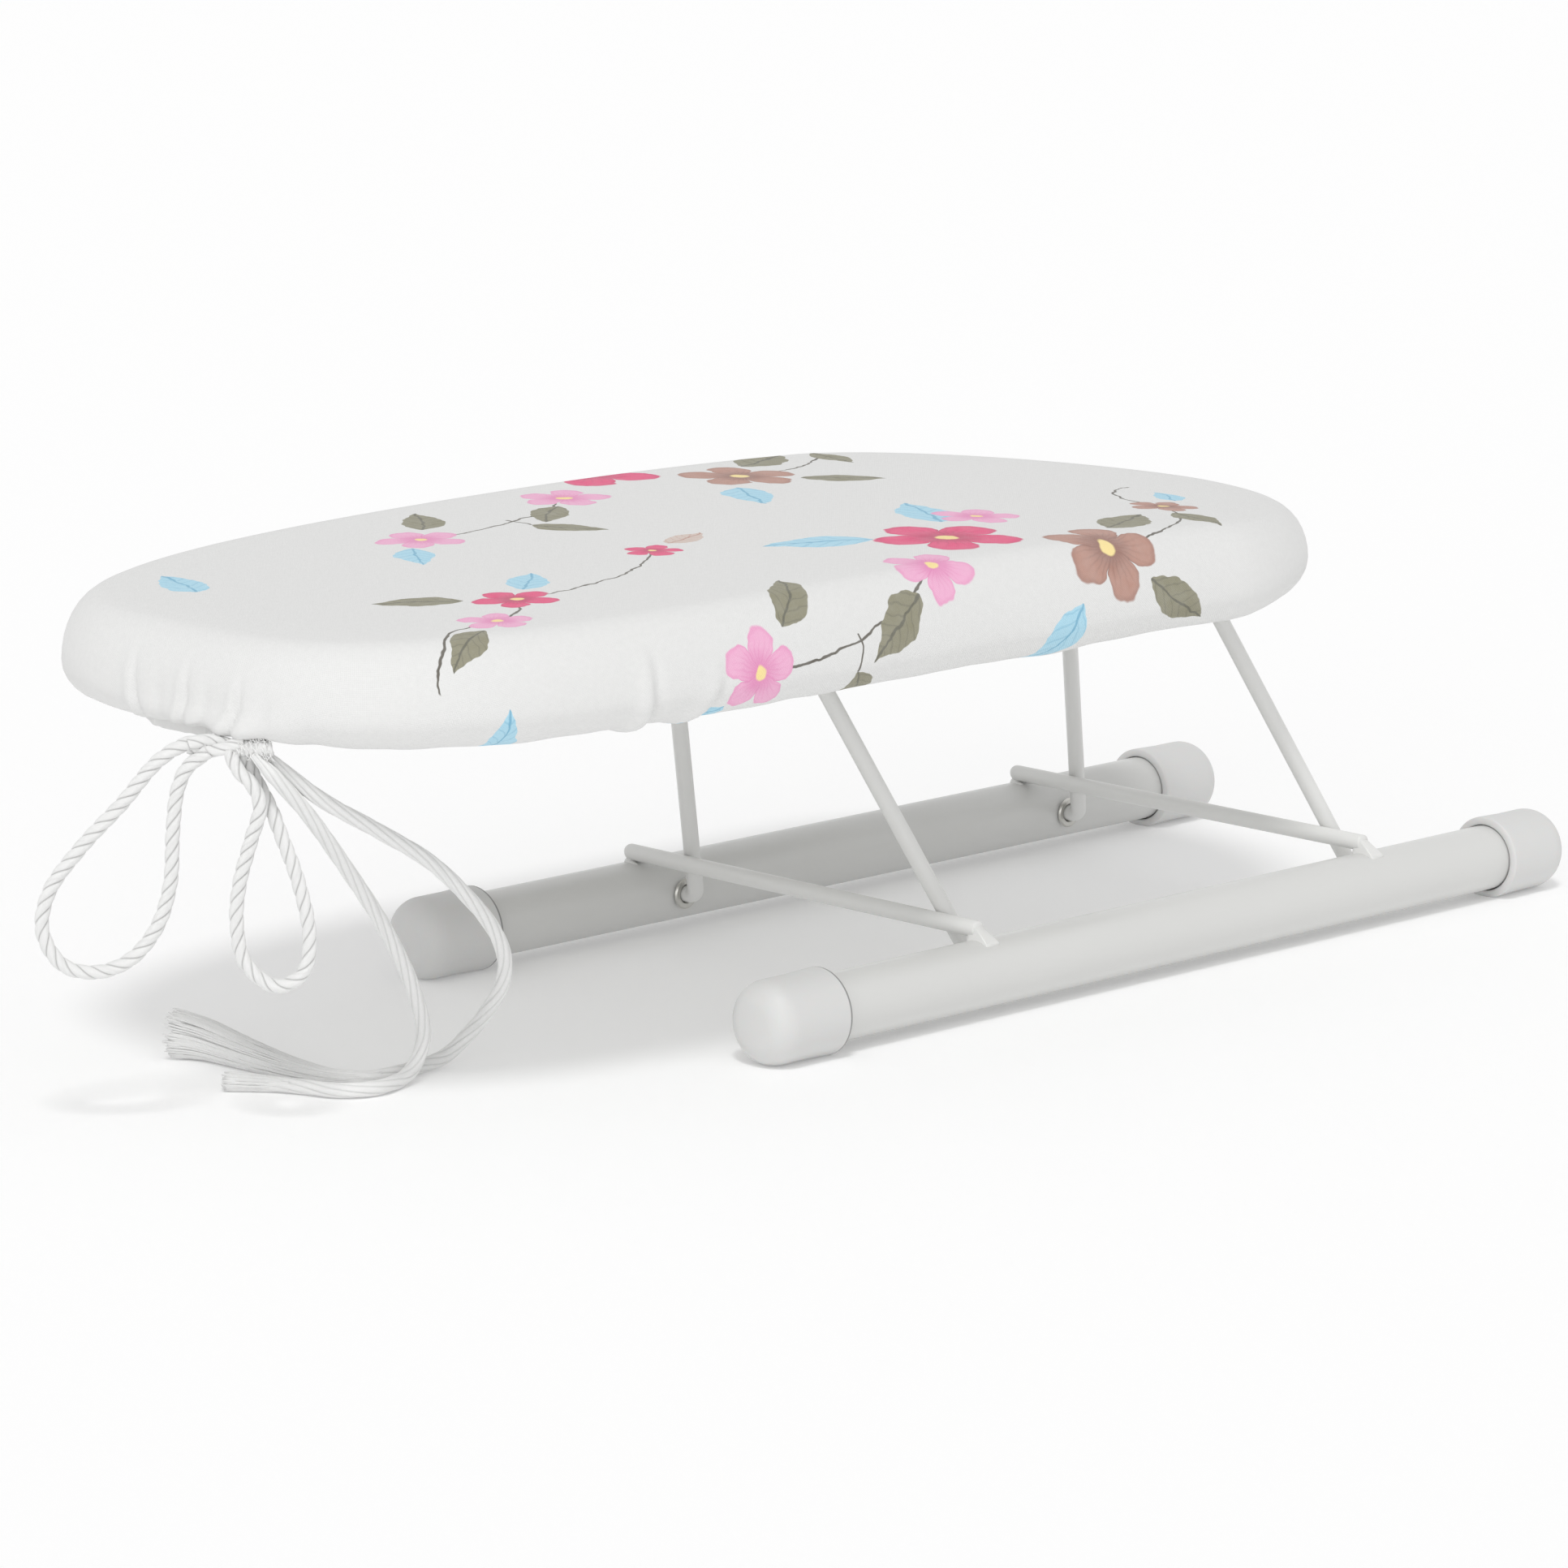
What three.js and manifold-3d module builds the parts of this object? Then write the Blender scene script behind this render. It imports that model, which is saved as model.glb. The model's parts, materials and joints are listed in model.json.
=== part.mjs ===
import * as THREE from 'three';
import { mergeVertices } from 'three/addons/utils/BufferGeometryUtils.js';
import Module from 'manifold-3d';

const wasm = await Module();
wasm.setup();

// Driving sizes in millimetres. X is measured from the middle of the two stop bars, Z from the table.
const gap = 0.3;
const padEase = 0.7;
const tubeDiameter = 22;
const tubeWall = 1.2;
const tubeSpacing = 160;
const footLength = 380.4;
const footShift = -5.3;
const capThickness = 3;
const capLength = 30.6;
const capFlat = 0.4;
const wireDiameter = 5.5;
const stopBarSpacing = 186.4;
const legLean = 23.2;
const legTaper = 0.3233;
const rearOverhang = 45.62;
const boardLength = 465.6;
const boardWidth = 214.6;
const noseTaper = 239;
const noseFullness = 3.3;
const rearTaper = 103;
const rearFullness = 1.75;
const widestAboveAxis = 115.6;
const crownHeight = 24;
const crownRound = 13.7;
const noseDrop = 3.7;
const rearDrop = 10.3;
const underHeight = 12.3;
const underRound = 18.3;
const coverThickness = 1.2;
const deckSheet = 1.2;
const deckInset = 8;
const rimEase = 1.26;
const deckAboveWidest = 2.4;
const cordDiameter = 4;
const hemCordDiameter = 3.8;
const ventDiameter = 10;
const ventPitch = 32;
const ventRowSpacing = 45;
const ventNoseMargin = 50;
const ventRearMargin = 40;
const capRoundness = 8;
const capLip = 0.6;
const eyeletWall = 0.9;
const eyeletBrim = 3;
const eyeletBrimSheet = 1;
const eyeletBehind = 2;
const barOverlap = 1;
const weldLength = 2;
const weldTaper = 1.2;
const weldSink = 0.9;
const pinReach = 6;
const legClearance = 5.5;
const legBend = 4.5;
const saddleSpacing = 25.66;
const saddleWidth = 10;
const saddleSheet = 1.2;
const saddleFoot = 8.4;
const saddleReach = 12.5;
const rivetShank = 1.4;
const rivetHead = 2.6;
const rivetHeadHeight = 1.2;
const rivetTailHeight = 0.7;
const rivetSeat = 0.15;
const hemTuck = 2;
const knotSide = -31.2;
const knotAhead = 0.2;
const knotAboveHem = 1.9;
const knotWaist = 0.06;
const drillPast = 1;

// Sizes that follow from the driving ones.
const tubeRadius = tubeDiameter / 2;
const wireRadius = wireDiameter / 2;
const capRadius = tubeRadius + capThickness;
const axisZ = capRadius - capFlat;
const footEnd = footShift + footLength / 2;
const lean = Math.tan(THREE.MathUtils.degToRad(legLean));
const stopBarZ = axisZ + tubeRadius + gap + wireRadius;
const widestZ = axisZ + widestAboveAxis;
const deckTopZ = widestZ + deckAboveWidest;
const deckUnderZ = deckTopZ - deckSheet;
const hingeZ = deckUnderZ - gap - wireRadius;
const pivotOffset = (wireDiameter + gap) * Math.hypot(1, lean) + (stopBarZ - axisZ) * lean;
const pivotX = [-stopBarSpacing / 2 + pivotOffset, stopBarSpacing / 2 + pivotOffset];
const hingeShift = -(hingeZ - axisZ) * lean;
const boardRear = pivotX[1] + hingeShift + rearOverhang;
const noseReach = boardLength - boardRear;
const rimInset = (underRound - deckInset) / (underRound - coverThickness);
const rimBelowWidest = (underHeight - coverThickness) * Math.sqrt(1 - rimInset ** 2) - rimEase;
const deckRim = deckAboveWidest + rimBelowWidest;
const originX = (footEnd - noseReach) / 2;

const finish = (color, roughness, metalness) => new THREE.MeshStandardMaterial({
  color,
  roughness,
  metalness,
});
const whiteSteel = finish(0xd8d8d6, 0.35, 0);
const capPlastic = finish(0xdadad9, 0.55, 0);
const platedSteel = finish(0xb8b8b4, 0.35, 1);
const deckSteel = finish(0xd0d0cc, 0.45, 0);
const foam = finish(0xe6e3d8, 0.95, 0);
const coverCotton = finish(0xe8e8e7, 0.9, 0);
const cordCotton = finish(0xebebeb, 0.95, 0);

const vec = (x, y, z) => new THREE.Vector3(x, y, z);

// A closed solid through rings of equal count. Ends are filled unless the rings run in a loop.
function loft(rings, looped = false) {
  const count = rings[0].length;
  const points = rings.flat();
  const index = [];
  const spans = looped ? rings.length : rings.length - 1;
  for (let i = 0; i < spans; i++) {
    const a = i * count;
    const b = ((i + 1) % rings.length) * count;
    for (let j = 0; j < count; j++) {
      const k = (j + 1) % count;
      index.push(a + j, a + k, b + k, a + j, b + k, b + j);
    }
  }
  if (!looped) {
    const last = (rings.length - 1) * count;
    const middle = (ring) => ring.reduce((sum, p) => sum.add(p), vec(0, 0, 0)).divideScalar(count);
    points.push(middle(rings[0]), middle(rings[rings.length - 1]));
    for (let j = 0; j < count; j++) {
      const k = (j + 1) % count;
      index.push(points.length - 2, k, j, points.length - 1, last + j, last + k);
    }
  }
  return solidFrom(points, index);
}

// Triangles are turned over where the solid would come out inside out.
function solidFrom(points, index) {
  const volume = index.reduce((sum, _, i) => (i % 3 ? sum
    : sum + points[index[i]].dot(vec(0, 0, 0).crossVectors(points[index[i + 1]], points[index[i + 2]]))), 0);
  if (volume < 0) index.reverse();
  const geometry = new THREE.BufferGeometry();
  geometry.setAttribute('position', new THREE.Float32BufferAttribute(points.flatMap((p) => p.toArray()), 3));
  geometry.setIndex(index);
  return geometry;
}

const toManifold = (geometry) => new wasm.Manifold(new wasm.Mesh({
  numProp: 3,
  vertProperties: new Float32Array(geometry.attributes.position.array),
  triVerts: new Uint32Array(geometry.index.array),
}));

function cut(geometry, tools) {
  const cutter = wasm.Manifold.union(tools.map(toManifold));
  const result = toManifold(geometry).subtract(cutter).getMesh();
  const out = new THREE.BufferGeometry();
  out.setAttribute('position', new THREE.Float32BufferAttribute(result.vertProperties, 3));
  out.setIndex([...result.triVerts]);
  return out;
}

// A turned part: profile pairs are radius and place along the axis, which starts along Z.
function turn(profile, segments, looped = false) {
  const ring = ([r, h]) => Array.from({ length: segments }, (_, i) => {
    const a = ((i + 0.5) / segments) * Math.PI * 2;
    return vec(r * Math.cos(a), r * Math.sin(a), h);
  });
  return loft(profile.map(ring), looped);
}

const alongX = (geometry) => geometry.rotateY(Math.PI / 2);
const alongY = (geometry, side) => geometry.rotateX((side * -Math.PI) / 2);

// A round rod along a line of points, with its frame carried along without twist.
function sweep(points, radius, segments) {
  let side = null;
  const rings = points.map((p, i) => {
    const before = points[Math.max(i - 1, 0)];
    const after = points[Math.min(i + 1, points.length - 1)];
    const along = after.clone().sub(before).normalize();
    if (!side) side = Math.abs(along.z) > 0.8 ? vec(1, 0, 0) : vec(0, 0, 1);
    side = side.clone().addScaledVector(along, -side.dot(along)).normalize();
    const other = vec(0, 0, 0).crossVectors(along, side);
    return Array.from({ length: segments }, (_, j) => {
      const a = (j / segments) * Math.PI * 2;
      return p.clone()
        .addScaledVector(side, radius * Math.cos(a))
        .addScaledVector(other, radius * Math.sin(a));
    });
  });
  return loft(rings);
}

// Corners of a bent wire are rounded with an arc of the bend radius.
function bent(corners, bend, steps = 6) {
  const line = [corners[0]];
  for (let i = 1; i < corners.length - 1; i++) {
    const into = corners[i - 1].clone().sub(corners[i]).normalize();
    const out = corners[i + 1].clone().sub(corners[i]).normalize();
    const half = into.angleTo(out) / 2;
    const middle = into.clone().add(out).normalize();
    const centre = corners[i].clone().addScaledVector(middle, bend / Math.sin(half));
    const start = corners[i].clone().addScaledVector(into, bend / Math.tan(half)).sub(centre);
    const end = corners[i].clone().addScaledVector(out, bend / Math.tan(half)).sub(centre);
    const axis = vec(0, 0, 0).crossVectors(start, end).normalize();
    const turnAngle = start.angleTo(end);
    for (let s = 0; s <= steps; s++) {
      line.push(start.clone().applyAxisAngle(axis, (turnAngle * s) / steps).add(centre));
    }
  }
  line.push(corners[corners.length - 1]);
  return line;
}

// Stations round the board's plan outline, each with its outward direction.
function boardOutline(steps = 13) {
  const halfWidth = boardWidth / 2;
  const noseShoulder = noseTaper - noseReach;
  const rearShoulder = boardRear - rearTaper;
  const half = [];
  for (let i = 0; i <= steps; i++) {
    const a = ((i / steps) * Math.PI) / 2;
    half.push(vec(
      noseShoulder - noseTaper * Math.cos(a) ** (2 / noseFullness),
      halfWidth * Math.sin(a) ** (2 / noseFullness),
      0,
    ));
  }
  for (let i = steps; i >= 0; i--) {
    const a = ((i / steps) * Math.PI) / 2;
    half.push(vec(
      rearShoulder + rearTaper * Math.cos(a) ** (2 / rearFullness),
      i ? halfWidth * Math.sin(a) ** (2 / rearFullness) : 0,
      0,
    ));
  }
  const mirrored = half.slice(1, -1).reverse().map((p) => vec(p.x, -p.y, 0));
  const round = [...half, ...mirrored];
  return round.map((p, i) => {
    const before = round[(i + round.length - 1) % round.length];
    const after = round[(i + 1) % round.length];
    const out = vec(before.y - after.y, after.x - before.x, 0).normalize();
    return { at: p, out };
  });
}

const outline = boardOutline();
const boardMiddle = vec(boardRear - boardLength / 2, 0, 0);

// The top falls away towards both ends, more at the rear.
function topDrop(x) {
  const t = (x - boardMiddle.x) / (boardLength / 2);
  return (t < 0 ? noseDrop : rearDrop) * t * t;
}

const inset = (distance, height) => outline.map(({ at, out }) => {
  const p = at.clone().addScaledVector(out, -distance);
  return vec(p.x, p.y, typeof height === 'function' ? height(p.x) : height);
});

function upperRing(offset, degrees) {
  const a = THREE.MathUtils.degToRad(degrees);
  const distance = crownRound - (crownRound - offset) * Math.cos(a);
  return inset(distance, (x) => widestZ + (crownHeight - offset - topDrop(x)) * Math.sin(a));
}

function lowerRing(offset, degrees) {
  const a = THREE.MathUtils.degToRad(degrees);
  const distance = underRound - (underRound - offset) * Math.cos(a);
  return inset(distance, widestZ - (underHeight - offset) * Math.sin(a));
}

function topRing(offset, share) {
  return inset(crownRound, 0).map((p) => {
    const q = p.clone().sub(boardMiddle).multiplyScalar(share).add(boardMiddle);
    return vec(q.x, q.y, widestZ + crownHeight - offset - topDrop(q.x));
  });
}

const prism = (ring, low, high) => loft([low, high].map((z) => ring.map((p) => vec(p.x, p.y, z))));

// Base: two foot tubes, their end caps, eyelets and two stop bars.
function footTube(side) {
  const inner = capThickness + gap;
  const start = footShift - footLength / 2 + inner;
  const end = footEnd - inner;
  const bore = tubeRadius - tubeWall;
  const tube = alongX(turn([[tubeRadius, start], [tubeRadius, end], [bore, end], [bore, start]], 28, true));
  tube.translate(0, (side * tubeSpacing) / 2, axisZ);
  const hole = eyeletBarrel + gap;
  const holes = pivotX.map((x) => alongY(turn([[hole, 0], [hole, tubeDiameter]], 16), -side)
    .translate(x, (side * tubeSpacing) / 2, axisZ));
  return cut(tube, holes);
}

const eyeletBore = wireRadius + gap;
const eyeletBarrel = eyeletBore + eyeletWall;
const eyeletFlange = eyeletBore + eyeletBrim;

function eyelet(x, side) {
  const seat = tubeRadius + gap;
  const inside = tubeRadius - tubeWall - eyeletBehind;
  const brim = seat + eyeletBrimSheet;
  const profile = [[eyeletBore, inside], [eyeletBarrel, inside], [eyeletBarrel, seat], [eyeletFlange, seat],
    [eyeletFlange, brim], [eyeletBore, brim]];
  return alongY(turn(profile, 16, true), -side).translate(x, (side * tubeSpacing) / 2, axisZ);
}

function endCap(end, side) {
  const bore = tubeRadius + gap;
  const profile = [[bore, capLength - capThickness], [bore, 0], [capRadius - capLip, 0], [capRadius, capLip]];
  for (let i = 0; i <= 4; i++) {
    const a = (i / 4) * (Math.PI / 2);
    profile.push([
      capRadius - capRoundness * (1 - Math.cos(a)),
      capLength - capRoundness * (1 - Math.sin(a)),
    ]);
  }
  const cap = alongX(turn(profile, 28));
  if (end < 0) cap.rotateZ(Math.PI);
  cap.translate(footShift + end * (footLength / 2 - capLength), (side * tubeSpacing) / 2, axisZ);
  const far = footLength;
  const below = [vec(-far, -far, 0), vec(far, -far, 0), vec(far, far, 0), vec(-far, far, 0)];
  return cut(cap, [prism(below, -capRadius, 0)]);
}

function stopBar(x) {
  const reach = tubeSpacing / 2 + barOverlap;
  const weld = wireRadius - weldTaper;
  const ends = [-reach - weldLength, -reach, reach, reach + weldLength];
  const rings = ends.map((y, i) => Array.from({ length: 14 }, (_, j) => {
    const a = (j / 14) * Math.PI * 2;
    const r = i === 0 || i === 3 ? weld : wireRadius;
    const low = (wireRadius - r) * weldSink;
    return vec(x + r * Math.cos(a), y, stopBarZ - low + r * Math.sin(a));
  }));
  return loft(rings);
}

// Legs: one bent wire each, pinned in the eyelets below and in the saddles above.
const pinEnd = tubeSpacing / 2 - tubeRadius + pinReach;
const legFoot = tubeSpacing / 2 - tubeRadius - legClearance;
const legTop = legFoot - legTaper * (hingeZ - axisZ);

function legWire(x) {
  const right = [vec(x, pinEnd, axisZ), vec(x, legFoot, axisZ), vec(x + hingeShift, legTop, hingeZ)];
  const left = right.map((p) => vec(p.x, -p.y, p.z)).reverse();
  return sweep(bent([...right, ...left], legBend), wireRadius, 12);
}

// Deck: a pressed sheet tray with vents, four saddles and eight rivets.
const saddleBore = wireRadius + gap;
const saddleTopZ = deckUnderZ - gap;

const hingePlaces = pivotX.flatMap((x) => [-1, 1].map((side) => ({
  x: x + hingeShift,
  y: (side * saddleSpacing) / 2,
})));
const rivetPlaces = hingePlaces.flatMap(({ x, y }) => [-1, 1].map((end) => ({ x: x + end * saddleFoot, y })));

const drill = (place, radius, low, high, segments = 12) => turn([[radius, low], [radius, high]], segments)
  .translate(place.x, place.y, 0);

function deckTray() {
  const rim = inset(deckInset, 0);
  const hollow = inset(deckInset + deckSheet, 0);
  const tray = prism(rim, deckTopZ - deckRim, deckTopZ);
  const vents = [];
  const low = deckUnderZ - drillPast;
  const high = deckTopZ + drillPast;
  for (const y of [-ventRowSpacing, 0, ventRowSpacing]) {
    for (let x = ventNoseMargin - noseReach; x < boardRear - ventRearMargin; x += ventPitch) {
      const clear = hingePlaces.every((h) => Math.abs(h.x - x) > saddleReach + ventDiameter || y !== 0);
      if (clear) vents.push(drill({ x, y }, ventDiameter / 2, low, high, 8));
    }
  }
  const rivetHoles = rivetPlaces.map((p) => drill(p, rivetShank + gap, low, high));
  return cut(tray, [prism(hollow, deckTopZ - deckRim - drillPast, deckUnderZ), ...vents, ...rivetHoles]);
}

function saddle({ x, y }) {
  const steps = 8;
  const outer = saddleBore + saddleSheet;
  const arc = (radius) => Array.from({ length: steps + 1 }, (_, i) => {
    const a = Math.PI * (1 + i / steps);
    return [radius * Math.cos(a), radius * Math.sin(a)];
  });
  const foot = saddleTopZ - hingeZ;
  const section = [[-saddleReach, foot], [-saddleReach, foot - saddleSheet], [-outer, foot - saddleSheet],
    ...arc(outer), [outer, foot - saddleSheet], [saddleReach, foot - saddleSheet], [saddleReach, foot],
    [saddleBore, foot], ...arc(saddleBore).reverse(), [-saddleBore, foot]];
  const shape = new THREE.Shape(section.map(([u, v]) => new THREE.Vector2(u, v)));
  const triangles = THREE.ShapeUtils.triangulateShape(shape.getPoints(), []);
  const count = section.length;
  const points = [-1, 1].flatMap((end) => section.map(([u, v]) => vec(
    x + u,
    y + (end * saddleWidth) / 2,
    hingeZ + v,
  )));
  const index = triangles.flatMap(([a, b, c]) => [a, b, c, c + count, b + count, a + count]);
  for (let i = 0; i < count; i++) {
    const k = (i + 1) % count;
    index.push(k, i, i + count, k, i + count, k + count);
  }
  const holes = [-1, 1].map((end) => drill({ x: x + end * saddleFoot, y }, rivetShank + gap,
    saddleTopZ - saddleSheet - drillPast, saddleTopZ + drillPast));
  return cut(solidFrom(points, index), holes);
}

function rivet(place) {
  const low = saddleTopZ - saddleSheet - rivetSeat;
  const high = deckTopZ + rivetSeat;
  const head = [[rivetShank, low - rivetHeadHeight], [rivetHead, low - rivetHeadHeight / 3], [rivetHead, low]];
  const tail = [[rivetHead, high], [rivetHead, high + rivetTailHeight]];
  const profile = [...head, [rivetShank, low], [rivetShank, high], ...tail];
  return turn(profile, 12).translate(place.x, place.y, 0);
}

// Soft parts: a foam pad and the cover with its hem turned round the drawstring.
function foamPad() {
  const offset = coverThickness + padEase;
  const low = deckTopZ + gap;
  const edge = crownRound - (crownRound - offset) * 0.97;
  const rings = [inset(edge, low), upperRing(offset, 30), upperRing(offset, 60), upperRing(offset, 90),
    topRing(offset, 0.66), topRing(offset, 0.33)];
  const pocketTop = deckTopZ + rivetSeat + rivetTailHeight + gap;
  const pockets = rivetPlaces.map((p) => drill(p, rivetHead + gap, low - drillPast, pocketTop, 10));
  return cut(loft(rings), pockets);
}

const hemCordRadius = hemCordDiameter / 2;
const hemOuter = hemCordRadius + gap + coverThickness;
const hemInset = underRound + hemTuck;
const hemZ = widestZ - underHeight + hemOuter;

function hemRing(radius, degrees) {
  const a = THREE.MathUtils.degToRad(degrees);
  return inset(hemInset + radius * Math.cos(a), hemZ + radius * Math.sin(a));
}

function cover() {
  const skin = (offset) => [topRing(offset, 0.33), topRing(offset, 0.66), upperRing(offset, 90),
    upperRing(offset, 60), upperRing(offset, 30), upperRing(offset, 0), lowerRing(offset, 45),
    lowerRing(offset, 80)];
  const curl = (radius) => [-90, -45, 0, 45].map((degrees) => hemRing(radius, degrees));
  const outside = [...skin(0), ...curl(hemOuter)];
  const inside = [...skin(coverThickness), ...curl(hemOuter - coverThickness)];
  return loft([...outside, ...inside.reverse()]);
}

// The hem cord runs round the outline from the nose, and its two ends stop in the hem behind the bow.
const hemCord = () => sweep(inset(hemInset, hemZ), hemCordRadius, 8);

// The bow hangs under the nose. Its points are across, down and back from the knot.
const bowAcross = vec(Math.SQRT1_2, -Math.SQRT1_2, 0);
const bowBack = vec(Math.SQRT1_2, Math.SQRT1_2, 0);
const knotAt = vec(-noseReach - knotAhead, knotSide, widestZ - underHeight + knotAboveHem);
const cordRadius = cordDiameter / 2;
const restZ = cordRadius + 2 * gap;

const fromKnot = ([across, down, back]) => knotAt.clone()
  .addScaledVector(bowAcross, across)
  .addScaledVector(bowBack, back)
  .setZ(Math.max(restZ, knotAt.z - down));

const bowKnot = { halfAcross: 11, halfBack: 4.6, halfHigh: 4.6 };
const leftLoop = [[-7, -0.8, 0.8], [-13, 0, 0.4], [-21, 5, 0], [-32, 18, 0], [-44, 31, 0], [-54, 45, 0],
  [-56, 57, 0], [-50, 67, 0], [-40, 69, 0], [-30, 65, 0], [-22, 55, 0], [-18, 42, 0], [-17, 26, 0],
  [-15.5, 14, 0], [-12.5, 7, -0.6], [-6, 1.8, -1.2]];
const rightLoop = [[0, 1, -1], [2.5, 7, -2], [7, 12, -2.4], [9, 18, -2.4], [6, 29, -1], [2.5, 42, 0],
  [1.5, 54, 0], [4, 66, 0], [13, 73, 0], [21, 69, 0], [23, 58, 0], [20, 42, 0.5], [15, 28, 1.5],
  [11.5, 19, 2.4], [6.5, 9, 2.2], [3, 1, 1.2]];
const nearTail = [[7, 2.4, -2.6], [12.5, 8, -3.2], [22, 21, 4], [33, 41, 17], [43, 63, 35], [50, 85, 54],
  [52.8, 100.7, 65], [52.7, 105.7, 67.1], [51.3, 110.9, 66.6], [49, 114.7, 63.6], [46.4, 116.2, 59.1],
  [44, 116.2, 54.3], [40, 116.2, 48.8], [34, 116.2, 45.6], [27, 117, 45.3], [17, 117, 49.5], [6, 117, 53],
  [-8, 117, 54]];
const farTail = [[7, 0.8, 1.6], [14, 7, 2], [27, 18, 6], [43, 29, 14], [57, 40, 24], [67, 52, 34],
  [75, 66, 48], [78, 77, 58], [77, 88, 68], [72, 99, 78], [65.5, 108.5, 85], [58.5, 115, 84], [50.5, 117, 75],
  [43, 117, 65.5], [35, 117, 60], [26, 117, 60.5], [16.5, 117, 66], [6, 117, 75.5], [-4, 117, 86],
  [-14, 117, 96], [-25, 117, 101]];

function knot(grow = 0) {
  const rings = [];
  for (let i = 0; i <= 8; i++) {
    const a = ((i + 0.35) / 8.7) * Math.PI;
    const swell = Math.sin(a) * (1 + knotWaist * Math.cos(6 * a));
    rings.push(Array.from({ length: 14 }, (_, j) => {
      const b = (j / 14) * Math.PI * 2;
      return knotAt.clone()
        .addScaledVector(bowAcross, -(bowKnot.halfAcross + grow) * Math.cos(a))
        .addScaledVector(bowBack, (bowKnot.halfBack + grow) * swell * Math.cos(b))
        .add(vec(0, 0, (bowKnot.halfHigh + grow) * swell * Math.sin(b)));
    }));
  }
  return loft(rings);
}

// Each cord runs up into the knot and is cut back to its clearance from the knot's surface.
function cord(points, steps) {
  const section = new THREE.Shape(Array.from({ length: 8 }, (_, i) => {
    const a = (i / 8) * Math.PI * 2;
    return new THREE.Vector2(cordRadius * Math.cos(a), cordRadius * Math.sin(a));
  }));
  const extrudePath = new THREE.CatmullRomCurve3(points.map(fromKnot), false, 'centripetal');
  const tube = new THREE.ExtrudeGeometry(section, { steps, extrudePath, bevelEnabled: false });
  tube.deleteAttribute('normal');
  tube.deleteAttribute('uv');
  return cut(mergeVertices(tube, 1e-4), [knot(gap)]);
}

const group = new THREE.Group();
group.position.x = -originX;
const add = (name, geometry, material) => {
  const mesh = new THREE.Mesh(geometry, material);
  mesh.name = name;
  group.add(mesh);
};

const sides = [['near', -1], ['far', 1]];
const ends = [['front', -1], ['rear', 1]];
for (const [name, side] of sides) add(`${name}_foot_tube`, footTube(side), whiteSteel);
for (const [sideName, side] of sides) {
  for (const [endName, end] of ends) {
    add(`${sideName}_${endName}_cap`, endCap(end, side), capPlastic);
    add(`${sideName}_${endName}_eyelet`, eyelet(pivotX[end < 0 ? 0 : 1], side), platedSteel);
  }
}
add('front_stop_bar', stopBar(-stopBarSpacing / 2), whiteSteel);
add('rear_stop_bar', stopBar(stopBarSpacing / 2), whiteSteel);
add('front_leg_wire', legWire(pivotX[0]), whiteSteel);
add('rear_leg_wire', legWire(pivotX[1]), whiteSteel);
add('deck_tray', deckTray(), deckSteel);
const placeNames = ends.flatMap(([end]) => sides.map(([side]) => `${end}_${side}`));
hingePlaces.forEach((place, i) => add(`${placeNames[i]}_saddle`, saddle(place), platedSteel));
rivetPlaces.forEach((place, i) => {
  add(`${placeNames[i >> 1]}_rivet_${i % 2 ? 'b' : 'a'}`, rivet(place), platedSteel);
});
add('foam_pad', foamPad(), foam);
add('cover', cover(), coverCotton);
add('hem_cord', hemCord(), cordCotton);
add('bow_knot', knot(), cordCotton);
add('bow_loop_left', cord(leftLoop, 22), cordCotton);
add('bow_loop_right', cord(rightLoop, 22), cordCotton);
add('near_tail', cord(nearTail, 36), cordCotton);
add('far_tail', cord(farTail, 36), cordCotton);

export default group;
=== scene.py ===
import json
import math
import random

import bmesh
import bpy
from mathutils import Matrix, Vector, noise


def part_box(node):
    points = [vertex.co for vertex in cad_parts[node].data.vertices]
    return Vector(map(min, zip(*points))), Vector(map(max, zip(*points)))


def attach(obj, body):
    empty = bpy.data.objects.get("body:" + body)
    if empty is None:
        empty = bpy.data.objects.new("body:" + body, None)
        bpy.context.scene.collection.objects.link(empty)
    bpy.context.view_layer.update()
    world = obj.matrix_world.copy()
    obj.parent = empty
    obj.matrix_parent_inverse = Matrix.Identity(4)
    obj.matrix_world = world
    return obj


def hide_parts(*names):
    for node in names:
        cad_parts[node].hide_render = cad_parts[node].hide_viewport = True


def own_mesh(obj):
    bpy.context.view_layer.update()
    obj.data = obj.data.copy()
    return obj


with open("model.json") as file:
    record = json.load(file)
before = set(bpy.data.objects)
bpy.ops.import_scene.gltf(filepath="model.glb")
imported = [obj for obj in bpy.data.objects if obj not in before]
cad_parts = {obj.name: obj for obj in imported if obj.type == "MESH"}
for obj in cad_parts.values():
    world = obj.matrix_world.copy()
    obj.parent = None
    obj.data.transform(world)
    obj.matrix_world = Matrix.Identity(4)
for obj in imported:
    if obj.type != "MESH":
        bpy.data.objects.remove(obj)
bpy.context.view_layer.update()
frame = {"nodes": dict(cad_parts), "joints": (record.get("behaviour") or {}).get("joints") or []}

mm = 0.001
scene = bpy.context.scene
scene.view_settings.view_transform = "Standard"


def addObject(name, data):
    item = bpy.data.objects.new(name, data)
    scene.collection.objects.link(item)
    return item


# camera at the photographed angle
cameraView = {
    "spot": (-1.64005, -1.6429, 0.5492),
    "azimuth": 44.7117,
    "elevation": 11.8439,
    "roll": 0.188,
    "lens": 167.7,
    "sensor": 36,
}


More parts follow.
